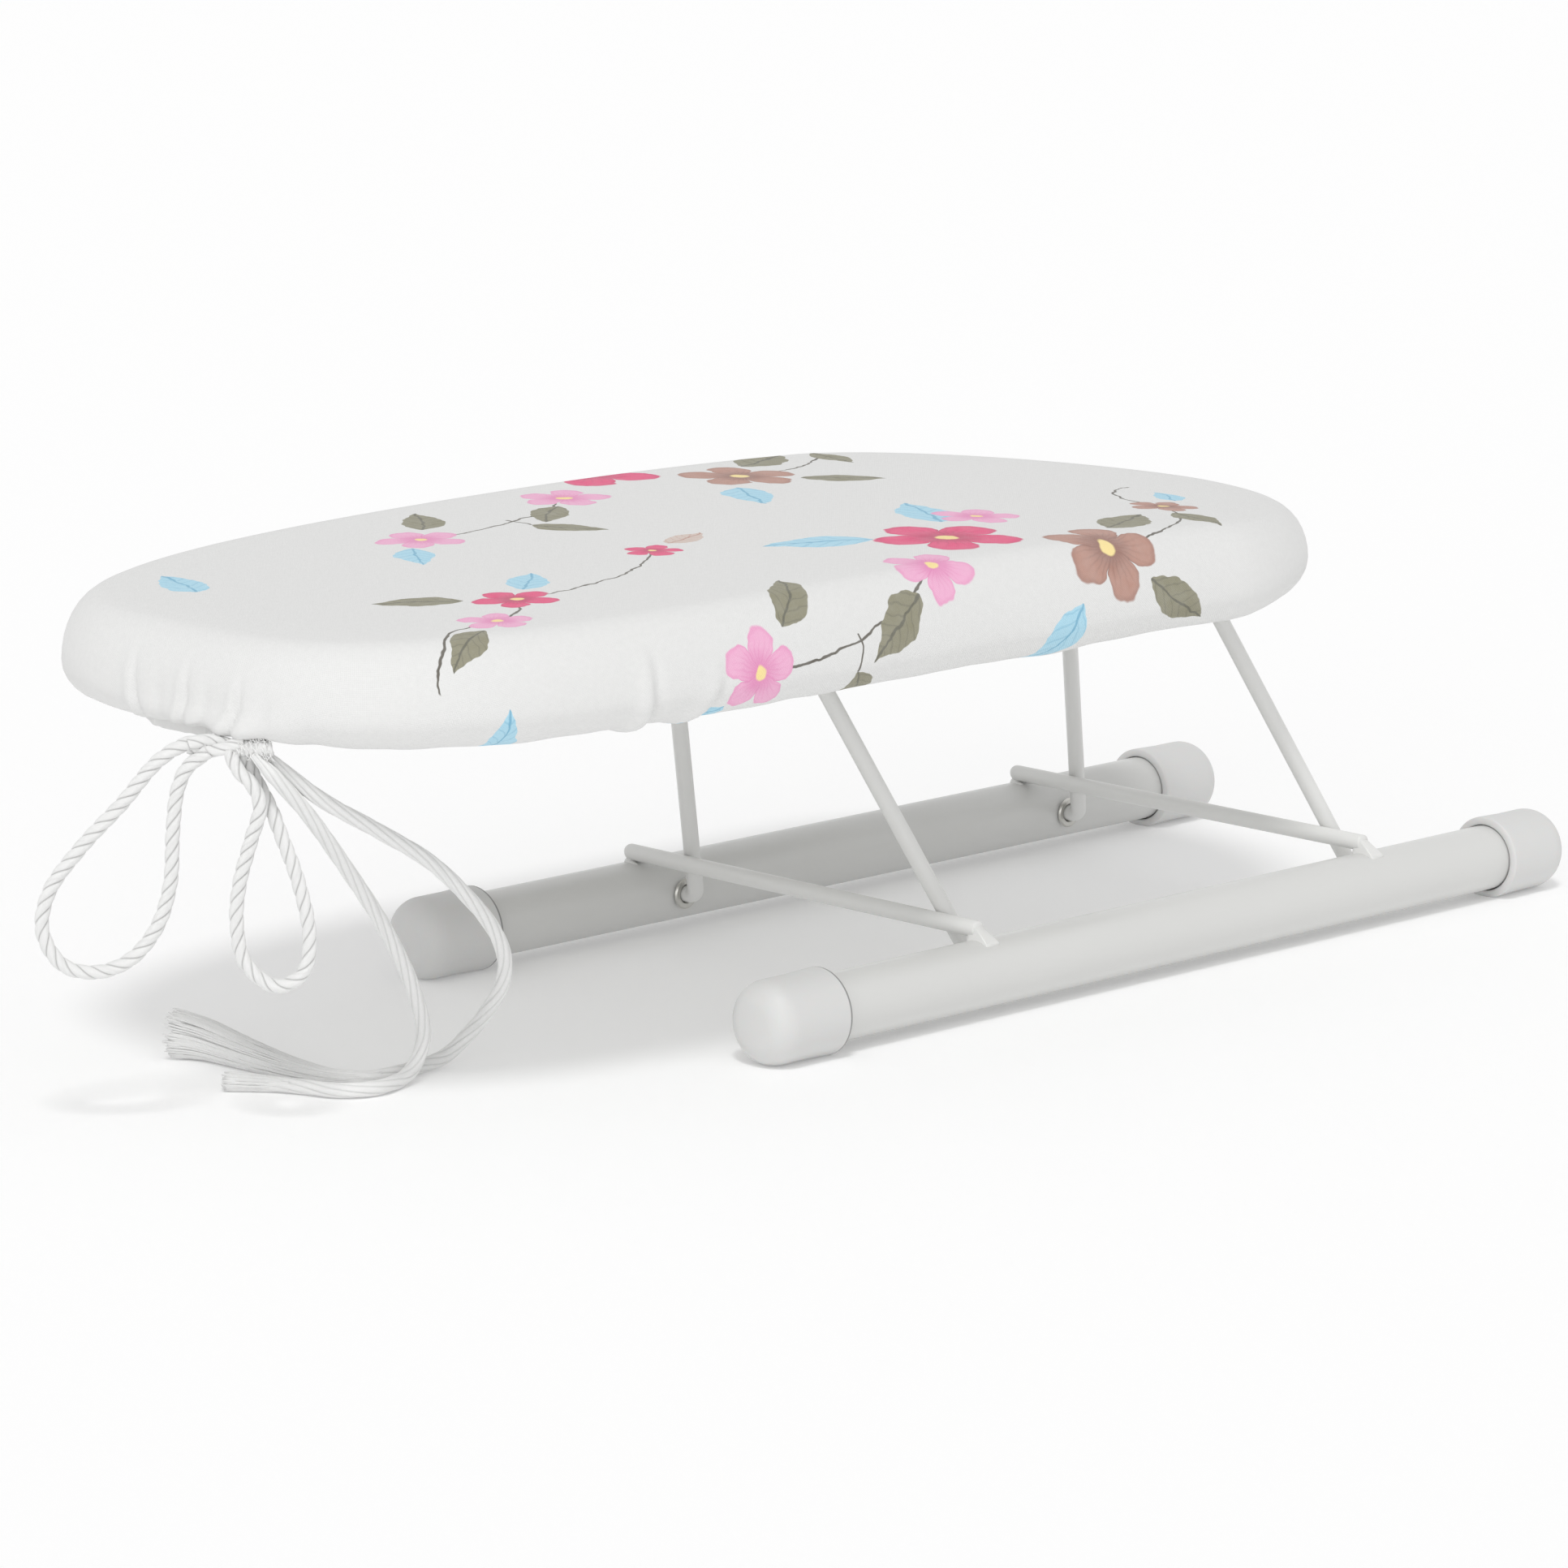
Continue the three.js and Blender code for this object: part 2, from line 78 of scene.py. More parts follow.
def placeCamera(view):
    azimuth, elevation, roll = (math.radians(view[key]) for key in ("azimuth", "elevation", "roll"))
    ahead = Vector((
        math.sin(azimuth) * math.cos(elevation),
        math.cos(azimuth) * math.cos(elevation),
        -math.sin(elevation),
    ))
    level = Vector((math.cos(azimuth), -math.sin(azimuth), 0))
    upright = level.cross(ahead)
    right = level * math.cos(roll) + upright * math.sin(roll)
    up = upright * math.cos(roll) - level * math.sin(roll)
    data = bpy.data.cameras.new("photoCamera")
    data.lens = view["lens"]
    data.sensor_width = view["sensor"]
    camera = addObject("photoCamera", data)
    turned = Matrix((right, up, -ahead)).transposed().to_4x4()
    camera.matrix_world = Matrix.Translation(view["spot"]) @ turned
    scene.camera = camera


placeCamera(cameraView)
print("camera placed")


# node helpers: a value is a plain one or another node's socket
def feed(sockets, values):
    for key, value in values.items():
        if isinstance(value, bpy.types.NodeSocket):
            value.id_data.links.new(value, sockets[key])
        else:
            sockets[key].default_value = value


def addNode(tree, kind, values, **settings):
    node = tree.nodes.new("ShaderNode" + kind)
    for key, value in settings.items():
        setattr(node, key, value)
    feed(node.inputs, values)
    return node.outputs


def sums(operation, *values):
    tree = next(value.id_data for value in values if isinstance(value, bpy.types.NodeSocket))
    return addNode(tree, "Math", dict(enumerate(values)), operation=operation)[0]


def plus(first, second):
    return sums("ADD", first, second)


def minus(first, second):
    return sums("SUBTRACT", first, second)


def times(first, *others):
    for value in others:
        first = sums("MULTIPLY", first, value)
    return first


def softStep(value, low, high):
    values = {"Value": value, "From Min": low, "From Max": high}
    return addNode(value.id_data, "MapRange", values, interpolation_type="SMOOTHSTEP")["Result"]


def spread(value, low, high):
    return addNode(value.id_data, "MapRange", {"Value": value, "To Min": low, "To Max": high})["Result"]


def mixColour(share, first, second):
    values = {"Factor": share, "A": first, "B": second}
    return addNode(share.id_data, "Mix", values, data_type="RGBA")["Result"]


def noiseOf(vector, scale, detail, roughness=0.5):
    values = {"Vector": vector, "Scale": scale, "Detail": detail, "Roughness": roughness}
    return addNode(vector.id_data, "TexNoise", values)["Fac"]


def newGroup(name, inputs, outputs):
    tree = bpy.data.node_groups.new(name, "ShaderNodeTree")
    for way, sockets in (("INPUT", inputs), ("OUTPUT", outputs)):
        for label, kind in sockets.items():
            tree.interface.new_socket(label, in_out=way, socket_type="NodeSocket" + kind)
    return tree, tree.nodes.new("NodeGroupInput").outputs, tree.nodes.new("NodeGroupOutput").inputs


def useGroup(group, vector, **values):
    return addNode(vector.id_data, "Group", {"Vector": vector, **values}, node_tree=group)


def newFinish(name):
    finish = bpy.data.materials.new(name)
    finish.use_nodes = True
    tree = finish.node_tree
    return finish, tree, tree.nodes["Principled BSDF"].inputs


def objectSpot(tree):
    return addNode(tree, "TexCoord", {})["Object"]


def meshMark(tree, name):
    return addNode(tree, "Attribute", {}, attribute_name=name)["Fac"]


def meshMap(tree, name):
    return addNode(tree, "UVMap", {}, uv_map=name)["UV"]


def pressBump(inputs, height, look):
    values = {"Height": height, "Distance": look["depth"], "Strength": look["shown"]}
    feed(inputs, {"Normal": addNode(height.id_data, "Bump", values)["Normal"]})


def grey(level):
    return (level, level, level, 1)


def linear(red, green, blue):
    def channel(value):
        share = value / 255
        return share / 12.92 if share <= 0.04045 else ((share + 0.055) / 1.055) ** 2.4
    return (channel(red), channel(green), channel(blue), 1)


# shared effects
mottleLook = {"wideScale": 22, "fineScale": 900, "roughSwing": 0.16}
weaveLook = {"slubScale": 420, "slubRough": 0.65, "threads": 0.5}


def makeMottle():
    group, into, out = newGroup(
        "handledMottle",
        {"Vector": "Vector", "Colour": "Color", "Depth": "Float", "Rough": "Float"},
        {"Colour": "Color", "Rough": "Float", "Grain": "Float"})
    wide = noiseOf(into["Vector"], mottleLook["wideScale"], 3)
    fine = noiseOf(into["Vector"], mottleLook["fineScale"], 2, 0.6)
    level = plus(1.0, times(spread(wide, -1.0, 1.0), into["Depth"]))
    tinted = addNode(group, "VectorMath", {0: into["Colour"], "Scale": level}, operation="SCALE")[0]
    swing = times(spread(fine, -0.5, 0.5), mottleLook["roughSwing"])
    feed(out, {"Colour": tinted, "Rough": plus(into["Rough"], swing), "Grain": fine})
    return group


def makeWeave():
    group, into, out = newGroup(
        "plainWeave", {"Vector": "Vector", "Pitch": "Float"}, {"Height": "Float", "Shade": "Float"})
    parts = addNode(group, "SeparateXYZ", {0: into["Vector"]})
    waves = [sums("SINE", sums("DIVIDE", times(parts[axis], math.tau), into["Pitch"])) for axis in "XY"]
    slub = noiseOf(into["Vector"], weaveLook["slubScale"], 3, weaveLook["slubRough"])
    feed(out, {"Height": plus(times(*waves, weaveLook["threads"]), slub), "Shade": slub})
    return group


mottle = makeMottle()
plainWeave = makeWeave()


# handled finishes: mottled colour over a fine grain, or over the peel of a paint; the caps' finish also gets
# painted shade at their mouths
paintLook = {"mottle": 0.018, "peelScale": 260, "depth": 0.00012, "shown": 0.25}
# the caps' dark grey is painted shade, laid in the bore and along the front caps' edge by the tube
plasticLook = {
    "mottle": 0.014, "depth": 0.00006, "shown": 0.5, "mouthShadeColour": linear(120, 120, 119), "mouthShadeShare": 0.8}
platingLook = {"mottle": 0.12, "depth": 0.00003, "shown": 0.6}
satin = {"Coat Weight": 0.2, "Coat Roughness": 0.25}
matt = {"Coat Weight": 0.0, "Coat Roughness": 0.25}
waxy = {"Subsurface Weight": 0.08, "Subsurface Scale": 0.003}
metal = {"Metallic": 1.0}


def makeHandled(name, look, colour, rough, sockets):
    finish, tree, inputs = newFinish(name)
    spot = objectSpot(tree)
    worn = useGroup(mottle, spot, Colour=colour, Depth=look["mottle"], Rough=rough)
    tone = worn["Colour"]
    # painted shade where the mesh marks a cap's mouth
    if "mouthShadeColour" in look:
        tone = mixColour(times(meshMark(tree, "mouthShade"), look["mouthShadeShare"]), tone, look["mouthShadeColour"])
    pressBump(inputs, noiseOf(spot, look["peelScale"], 2) if "peelScale" in look else worn["Grain"], look)
    feed(inputs, {"Base Color": tone, "Roughness": worn["Rough"], **sockets})
    return finish


# soft finishes
foamLook = {
    "colour": linear(232, 228, 214), "cellScale": 900, "shades": (0.75, 1.1), "depth": 0.0004, "shown": 0.8}
yarnLook = {
    "tones": (linear(232, 232, 231), linear(252, 252, 251)),
    # the groove colour is painted shade between the strands
    "groove": linear(152, 151, 150),
    "hairStretch": (1, 0.08, 1),
    "hairScale": 9000,
    "fuzzScale": 1600,
    "fuzzShare": 0.6,
    "fibreRough": 0.7,
    "depth": 0.0004,
    "shown": 0.6,
}


def makeFoam(name):
    finish, tree, inputs = newFinish(name)
    values = {"Vector": objectSpot(tree), "Scale": foamLook["cellScale"]}
    cells = addNode(tree, "TexVoronoi", values)["Distance"]
    values = {0: foamLook["colour"][:3], "Scale": spread(cells, *foamLook["shades"])}
    tone = addNode(tree, "VectorMath", values, operation="SCALE")[0]
    pressBump(inputs, cells, foamLook)
    feed(inputs, {"Base Color": tone, "Roughness": 0.95})
    return finish


def makeYarn(name):
    finish, tree, inputs = newFinish(name)
    values = {"Vector": meshMap(tree, "lay"), "Scale": yarnLook["hairStretch"]}
    fibre = addNode(tree, "Mapping", values)["Vector"]
    hairs = noiseOf(fibre, yarnLook["hairScale"], 3, yarnLook["fibreRough"])
    fuzz = noiseOf(objectSpot(tree), yarnLook["fuzzScale"], 3, yarnLook["fibreRough"])
    pale = mixColour(spread(hairs, 0.0, 1.0), *yarnLook["tones"])
    # painted shade: the mesh's groove mark darkens the tone between strands
    tone = mixColour(meshMark(tree, "groove"), pale, yarnLook["groove"])
    pressBump(inputs, plus(hairs, times(fuzz, yarnLook["fuzzShare"])), yarnLook)
    feed(inputs, {"Base Color": tone, "Roughness": 0.95, "Sheen Weight": 0.25, "Sheen Roughness": 0.5})
    return finish


whitePaint = makeHandled("whitePaint", paintLook, linear(212, 212, 210), 0.34, satin)
# the wires get the tubes' white made lighter: painted light that lifts the legs and bars standing in the
# board's shade
wirePaintWithPaintedLight = makeHandled("wirePaintWithPaintedLight", paintLook, linear(224, 224, 222), 0.34, satin)
deckPaint = makeHandled("deckPaint", paintLook, linear(226, 226, 223), 0.5, matt)
capPlastic = makeHandled("capPlastic", plasticLook, linear(213, 213, 212), 0.5, waxy)
zincPlating = makeHandled("zincPlating", platingLook, linear(196, 195, 190), 0.34, metal)
padFoam = makeFoam("padFoam")
cordYarn = makeYarn("cordYarn")
print("plain finishes ready")


# mesh helpers
def markCreases(bm, degrees=35):
    for face in bm.faces:
        face.smooth = True
    for edge in bm.edges:
        if len(edge.link_faces) == 2 and edge.calc_face_angle() > math.radians(degrees):
            edge.smooth = False


def meshFrom(name, bm):
    mesh = bpy.data.meshes.new(name)
    bm.to_mesh(mesh)
    bm.free()
    return mesh


def makePiece(name, bm, finish, body, slot, *nodes):
    mesh = meshFrom(name, bm)
    mesh.materials.append(finish)
    piece = addObject(name, mesh)
    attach(piece, body)
    if nodes:
        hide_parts(*nodes)
    return piece


def pivotOf(joint):
    return next(Vector(j["pos_m"]) for j in frame["joints"] if j["name"] == joint)


# a turned form: profile pairs are place along the axis and radius
def turnedForm(bm, profile, start, along, segments, closed):
    axis = Vector(along).normalized()
    side = axis.orthogonal().normalized()
    verts = [bm.verts.new(Vector(start) + axis * place + side * radius) for place, radius in profile]
    edges = [bm.edges.new(pair) for pair in zip(verts, verts[1:])]
    if closed:
        edges.append(bm.edges.new((verts[-1], verts[0])))
    bmesh.ops.spin(
        bm, geom=verts + edges, cent=start, axis=axis, angle=math.tau, steps=segments, use_merge=True)
    bmesh.ops.remove_doubles(bm, verts=bm.verts, dist=0.002 * mm)
    bmesh.ops.recalc_face_normals(bm, faces=bm.faces)


def frameAlong(points):
    count = len(points)
    frames = []
    side = None
    for i in range(count):
        along = (points[min(i + 1, count - 1)] - points[max(i - 1, 0)]).normalized()
        if side is None:
            side = along.orthogonal()
        side = (side - along * side.dot(along)).normalized()
        frames.append(Matrix((side, along.cross(side), along)).transposed())
    return frames


# runs a section along a line of points, turning and swelling it on the way
def runSection(bm, section, points, turns=None, swell=None):
    frames = frameAlong(points)
    turns = turns or [0.0] * len(points)
    swell = swell or [1.0] * len(points)
    placed = []
    for point, turned, angle, size in zip(points, frames, turns, swell):
        spun = turned.to_4x4() @ Matrix.Rotation(angle, 4, "Z") @ Matrix.Scale(size, 4)
        placed.append(Matrix.Translation(point) @ spun)
    ring = [bm.verts.new(placed[0] @ Vector((x, y, 0))) for x, y in section]
    loop = [bm.edges.new((ring[i - 1], ring[i])) for i in range(len(ring))]
    start = loop
    rings, faces = [ring], []
    for before, after in zip(placed, placed[1:]):
        made = bmesh.ops.extrude_edge_only(bm, edges=loop)["geom"]
        loop = [item for item in made if isinstance(item, bmesh.types.BMEdge)]
        ring = [item for item in made if isinstance(item, bmesh.types.BMVert)]
        faces += [item for item in made if isinstance(item, bmesh.types.BMFace)]
        bmesh.ops.transform(bm, matrix=after @ before.inverted(), verts=ring)
        rings.append(ring)
    for end in (start, loop):
        faces += bmesh.ops.edgeloop_fill(bm, edges=end)["faces"]
    bmesh.ops.recalc_face_normals(bm, faces=faces)
    return rings


def ringSection(reaches):
    angles = [math.tau * i / len(reaches) for i in range(len(reaches))]
    return [(reach * math.cos(angle), reach * math.sin(angle)) for reach, angle in zip(reaches, angles)]


def roundSection(radius, count):
    return ringSection([radius] * count)


def lineLength(points):
    return sum((q - p).length for p, q in zip(points, points[1:]))


# a smooth line through points, resampled at an even step
def smoothLine(points, step, spanSteps=24):
    points = [Vector(p) for p in points]
    ends = [points[0] * 2 - points[1], *points, points[-1] * 2 - points[-2]]
    dense = []
    for a, b, c, d in zip(ends, ends[1:], ends[2:], ends[3:]):
        ab, bc, cd = (max((q - p).length ** 0.5, 1e-6) for p, q in ((a, b), (b, c), (c, d)))
        into = (b - a) / ab - (c - a) / (ab + bc) + (c - b) / bc
        away = (c - b) / bc - (d - b) / (bc + cd) + (d - c) / cd
        for i in range(spanSteps):
            t = i / spanSteps
            dense.append(
                b * (2 * t ** 3 - 3 * t ** 2 + 1) + c * (3 * t ** 2 - 2 * t ** 3)
                + into * bc * (t ** 3 - 2 * t ** 2 + t) + away * bc * (t ** 3 - t ** 2))
    dense.append(points[-1])
    return evenLine(dense, step)


def evenLine(dense, step):
    total = lineLength(dense)
    count = max(2, round(total / step))
    line, gone, k = [], 0.0, 0
    for goal in (total * i / count for i in range(count + 1)):
        while k < len(dense) - 2 and gone + (dense[k + 1] - dense[k]).length < goal:
            gone += (dense[k + 1] - dense[k]).length
            k += 1
        span = (dense[k + 1] - dense[k]).length
        line.append(dense[k].lerp(dense[k + 1], min(1.0, (goal - gone) / max(span, 1e-9))))
    return line


# hanging cord: routes are across, down and back from the knot, in millimetres
bow = {
    "knot": Vector((-274.25, -31.2, 118.8)) * mm,
    "rest": 2.6,
    "diameter": 4.0,
    "step": 0.75,
    "strandSquare": 3.5,
    # grooveFrom and grooveSpan: how deep below a cord's reach the painted groove shade starts, and how much
    # deeper it turns full
    "grooveFrom": 0.86,
    "grooveSpan": 0.26,
    "thinStart": 0.5,
    "thinRise": 0.06,
    "thinFinish": 0.55,
    "creases": 75,
}
laid = {"strands": 3, "strandPoints": 8, "groove": 0.72, "lay": 15.0, "fullness": 1.1}
loose = {"strands": 6, "strandPoints": 6, "groove": 0.8, "lay": 74.0, "fullness": 1.18}
bowRoutes = {
    "leftLoop": [
        (-7, -0.8, 0.8), (-13, 0, 0.4), (-21, 5, 0), (-32, 18, 0), (-44, 31, 0), (-54, 45, 0), (-56, 57, 0),
        (-50, 67, 0), (-40, 69, 0), (-30, 65, 0), (-22, 55, 0), (-18, 42, 0), (-17, 26, 0), (-15.5, 14, 0),
        (-12.5, 7, -0.6), (-6, 1.8, -1.2)],
    "rightLoop": [
        (0, 1, -1), (2.5, 7, -2), (7, 12, -2.4), (9, 18, -2.4), (6, 29, -1), (2.5, 42, 0), (1.5, 54, 0),
        (4, 66, 0), (13, 73, 0), (21, 69, 0), (23, 58, 0), (20, 42, 0.5), (15, 28, 1.5), (11.5, 19, 2.4),
        (6.5, 9, 2.2), (3, 1, 1.2)],
    "nearTail": [
        (7, 2.4, -2.6), (12.5, 8, -3.2), (22, 21, 4), (33, 41, 17), (43, 63, 35), (50, 85, 54),
        (52.8, 100.7, 65), (52.7, 105.7, 67.1), (51.3, 110.9, 66.6), (49, 114.7, 63.6), (46.4, 116.2, 59.1),
        (44, 116.2, 54.3), (40, 116.2, 48.8), (34, 116.2, 45.6), (27, 117, 45.3), (17, 117, 49.5),
        (6, 117, 53), (-8, 117, 54)],
    "farTail": [
        (7, 0.8, 1.6), (14, 7, 2), (27, 18, 6), (43, 29, 14), (57, 40, 24), (67, 52, 34), (75, 66, 48),
        (78, 77, 58), (77, 88, 68), (72, 99, 78), (65.5, 108.5, 85), (58.5, 115, 84), (50.5, 117, 75),
        (43, 117, 65.5), (35, 117, 60), (26, 117, 60.5), (16.5, 117, 66), (6, 117, 75.5), (-4, 117, 86),
        (-14, 117, 96), (-25, 117, 101)],
}
cordFacts = {
    "leftLoop": {"node": "bow_loop_left", "kind": laid, "thinEnd": 0, "farEnd": "knot", "lies": "hanging"},
    "rightLoop": {"node": "bow_loop_right", "kind": laid, "thinEnd": 0, "farEnd": "knot", "lies": "hanging"},
    "nearTail": {"node": "near_tail", "kind": loose, "thinEnd": 12, "farEnd": "bare", "lies": "loose"},
    "farTail": {"node": "far_tail", "kind": loose, "thinEnd": 40, "farEnd": "bare", "lies": "loose"},
}
bowAcross = Vector((1, -1, 0)).normalized()
bowBack = Vector((1, 1, 0)).normalized()


def fromKnot(across, down, back):
    place = bow["knot"] + bowAcross * across * mm + bowBack * back * mm
    place.z = max(bow["rest"] * mm, place.z - down * mm)
    return place


# strands laid together, seen from the end
def strandSection(radius, kind):
    count = kind["strandPoints"] * kind["strands"]
    lobe = math.tau / kind["strands"]
    reaches = []
    for i in range(count):
        away = (math.tau * i / count + lobe / 2) % lobe - lobe / 2
        reaches.append(radius * (1 - (1 - kind["groove"]) * abs(away / lobe * 2) ** bow["strandSquare"]))
    return ringSection(reaches)


def yarnMesh():
    bm = bmesh.new()
    bm.loops.layers.uv.new("lay")
    bm.verts.layers.float.new("groove")
    return bm


# lay maps along each cord, and painted shade: the deeper a point lies below its ring's outer reach, the
# darker its groove mark
def yarnMaps(bm, rings, line):
    maps = bm.loops.layers.uv["lay"]
    shade = bm.verts.layers.float["groove"]
    spots = {}
    for far, (ring, place) in enumerate(zip(rings, line)):
        radius = max((vert.co - place).length for vert in ring)
        for i, vert in enumerate(ring):
            depth = radius * bow["grooveFrom"] - (vert.co - place).length
            vert[shade] = max(0.0, min(1.0, depth / (radius * bow["grooveSpan"])))
            spots[vert] = (i / len(ring) * math.tau * radius, far * bow["step"] * mm)
    for face in bm.faces:
        for loop in face.loops:
            loop[maps].uv = spots.get(loop.vert, (0, 0))


def yarnLine(points):
    return smoothLine(points, bow["step"] * mm)


def laidCord(bm, line, kind, radius, swell=None):
    step = lineLength(line) / (len(line) - 1)
    turns = [math.tau * i * step / (kind["lay"] * mm) for i in range(len(line))]
    return runSection(bm, strandSection(radius, kind), line, turns, swell)


# a tail is thin where it leaves the knot and again where its yarns part
def tailSwell(count, thinEnd):
    swell = []
    for i in range(count):
        leaving = bow["thinStart"] + bow["thinRise"] * i * bow["step"]
        left = (count - 1 - i) * bow["step"]
        parting = bow["thinFinish"] + (1 - bow["thinFinish"]) * left / thinEnd
        swell.append(min(1.0, leaving, parting))
    return swell


def makeCord(name, facts):
    radius = bow["diameter"] * facts["kind"]["fullness"] / 2 * mm
    line = yarnLine([fromKnot(*p) for p in bowRoutes[name]])
    swell = tailSwell(len(line), facts["thinEnd"]) if facts["thinEnd"] else None
    bm = yarnMesh()
    rings = laidCord(bm, line, facts["kind"], radius, swell)
    yarnMaps(bm, rings, line)
    markCreases(bm, bow["creases"])
    return makePiece(name, bm, cordYarn, "deck", "cord_cotton", facts["node"]), line


cords = {name: makeCord(name, facts) for name, facts in cordFacts.items()}
print("cords laid:", {name: round(lineLength(line) / mm) for name, (piece, line) in cords.items()})


# frayed ends: the tails' yarns part on the way to the end and stand up as a soft brush
fray = {
    "opening": 1.6,
    "headingSteps": 6,
    "yarnRadius": 0.34,
    "yarnSides": 5,
    "yarnStep": 2.6,
    "yarnRest": 1.1,
    "tipThin": 0.5,
    "stray": 0.35,
    "strayWaves": 4,
    "tucked": 0.8,
    "untuck": 4,
    "innerThick": 1.25,
    "innerFrom": 4,
    "outerReach": 0.98,
    "outerFrom": (0.4, 0.95),
    "outerOf": (2, 5),
    "bodyYarns": 30,
    "bodyStep": 1.5,
    "bodyGroove": 0.9,
    "bodyShade": 0.3,
    "bodyFill": 0.97,
    "bodyRest": 0.2,
    "farTail": {"yarns": 250, "from": 80.0, "bodyEnd": 3.0, "ragged": 3.4, "width": 14.0, "height": 15.6,
                "lean": 5.0, "seed": 7},
    "nearTail": {"yarns": 50, "from": 22.0, "bodyEnd": 1.4, "ragged": 1.4, "width": 6.2, "height": 6.2,
                 "lean": 0.0, "seed": 8},
}


def frayPlace(tail, far):
    facts = fray[tail]
    line = cords[tail][1]
    index = len(line) - 1 - round(far / bow["step"])
    spot = line[index].copy()
    along = spot - line[index - fray["headingSteps"]]
    sideways = Vector((-along.y, along.x, 0)).normalized()
    opened = max(0.0, 1 - far / facts["from"]) ** fray["opening"]
    cordRadius = bow["diameter"] * loose["fullness"] / 2
    wide = cordRadius + (facts["width"] / 2 - cordRadius) * opened
    tall = cordRadius + (facts["height"] / 2 - cordRadius) * opened
    spot += sideways * facts["lean"] * opened * mm
    spot.z += (facts["height"] / 2 * mm - spot.z) * opened
    return spot, sideways, wide * mm, tall * mm, opened


# the body of the brush: a bundle of yarns, run at 1 mm and then swelled to an upright oval
def frayBody(bm, tail):
    facts = fray[tail]
    steps = round((facts["from"] - facts["bodyEnd"]) / fray["bodyStep"])
    fars = [facts["from"] + (facts["bodyEnd"] - facts["from"]) * k / steps for k in range(steps + 1)]
    places = [frayPlace(tail, far)[:4] for far in fars]
    line = [place[0] for place in places]
    rings = runSection(bm, ringSection([fray["bodyGroove"] * mm, mm, mm] * fray["bodyYarns"]), line)
    yarnMaps(bm, rings, line)
    shade = bm.verts.layers.float["groove"]
    grooved = (1 + fray["bodyGroove"]) / 2 * mm
    for ring, (spot, sideways, wide, tall) in zip(rings, places):
        for vert in ring:
            offset = vert.co - spot
            # painted shade in the grooves between the body's yarns
            vert[shade] = fray["bodyShade"] if offset.length < grooved else 0.0
            vert.co = spot + sideways * offset.dot(sideways) * wide / mm * fray["bodyFill"]
            vert.co.z = max(fray["bodyRest"] * mm, spot.z + offset.z * tall / mm * fray["bodyFill"])


def frayYarn(bm, tail, draw, outer):
    facts = fray[tail]
    radius = fray["yarnRadius"] * mm * (1.0 if outer else fray["innerThick"])
    angle = draw.uniform(0, math.tau)
    reach = fray["outerReach"] if outer else math.sqrt(draw.random())
    stray = fray["stray"] * draw.uniform(-1, 1)
    phase = draw.uniform(0, math.tau)
    tip = facts["ragged"] * draw.random()
    start = facts["bodyEnd"] + fray["innerFrom"]
    if outer:
        start = facts["from"] * draw.uniform(*fray["outerFrom"])
    steps = max(3, round((start - tip) / fray["yarnStep"]))
    points = []
    for k in range(steps + 1):
        spot, sideways, wide, tall, opened = frayPlace(tail, start + (tip - start) * k / steps)
        wave = stray * math.sin(phase + fray["strayWaves"] * opened) * opened * mm
        out = reach * (fray["tucked"] + (1 - fray["tucked"]) * min(1.0, fray["untuck"] * k / steps))
        point = spot + sideways * (out * wide * math.cos(angle) + wave)
        point.z = max(radius * fray["yarnRest"], spot.z + out * tall * math.sin(angle) + wave)
        points.append(point)
    runSection(bm, roundSection(radius, fray["yarnSides"]), points, None, [1.0] * steps + [fray["tipThin"]])


def makeFray(tail):
    draw = random.Random(fray[tail]["seed"])
    bm = yarnMesh()
    maps = bm.loops.layers.uv["lay"]
    frayBody(bm, tail)
    body = set(bm.faces)
    outer, of = fray["outerOf"]
    for i in range(fray[tail]["yarns"]):
        frayYarn(bm, tail, draw, i % of < outer)
    for face in bm.faces:
        face.smooth = True
        if face in body:
            continue
        for loop in face.loops:
            loop[maps].uv = (loop.vert.co.x + loop.vert.co.z, loop.vert.co.y)
    return makePiece(tail + "Fray", bm, cordYarn, "deck", "cord_cotton")


frays = {tail: makeFray(tail) for tail in ("farTail", "nearTail")}


# bow knot: the loop's two ends twist together and a fuzzy binding holds the rest
knotShape = {
    "pairFrom": -12.0,
    "pairTo": 4.0,
    "pairSteps": 8,
    "pairApart": 1.55,
    "pairTwist": 3.6,
    "pairPhase": 0.5,
    "pairDown": 0.4,
    "core": (2.0, 7.0, 11.5),
    "coreDown": 0.8,
    "coreShare": 0.95,
    "bindFrom": 1.5,
    "bindTo": 12.5,
    "bindDown": 0.9,
    "bindAhead": 1.6,
    "bindRadius": 1.9,
    "bindEnds": 0.72,
    "bindTurns": 8,
    "turnSteps": 10,
    "bindYarn": 0.85,
    "fluff": 150,
    "fluffRoot": 0.7,
    "fluffLength": 1.7,
    "fluffUneven": 0.6,
    "fluffLean": 0.5,
    "fluffSteps": 3,
    "fluffRadius": 0.16,
    "seed": 11,
}


def twistedPair(bm, radius):
    rings, lines = [], []
    start, finish, steps = (knotShape[key] for key in ("pairFrom", "pairTo", "pairSteps"))
    for side in (0, math.pi):
        points = []
        for i in range(steps + 1):
            share = i / steps
            angle = side + knotShape["pairPhase"] + knotShape["pairTwist"] * share
            points.append(fromKnot(
                start + (finish - start) * share,
                knotShape["pairApart"] * math.sin(angle) + knotShape["pairDown"],
                knotShape["pairApart"] * math.cos(angle)))
        line = yarnLine(points)
        rings += laidCord(bm, line, laid, radius)
        lines += line
    return rings, lines


def roundBinding(share, reach, angle, shift=0.0):
    start, finish = knotShape["bindFrom"], knotShape["bindTo"]
    return fromKnot(
        start + (finish - start) * share + shift,
        knotShape["bindDown"] + reach * math.cos(angle),
        reach * math.sin(angle) - knotShape["bindAhead"] * share)


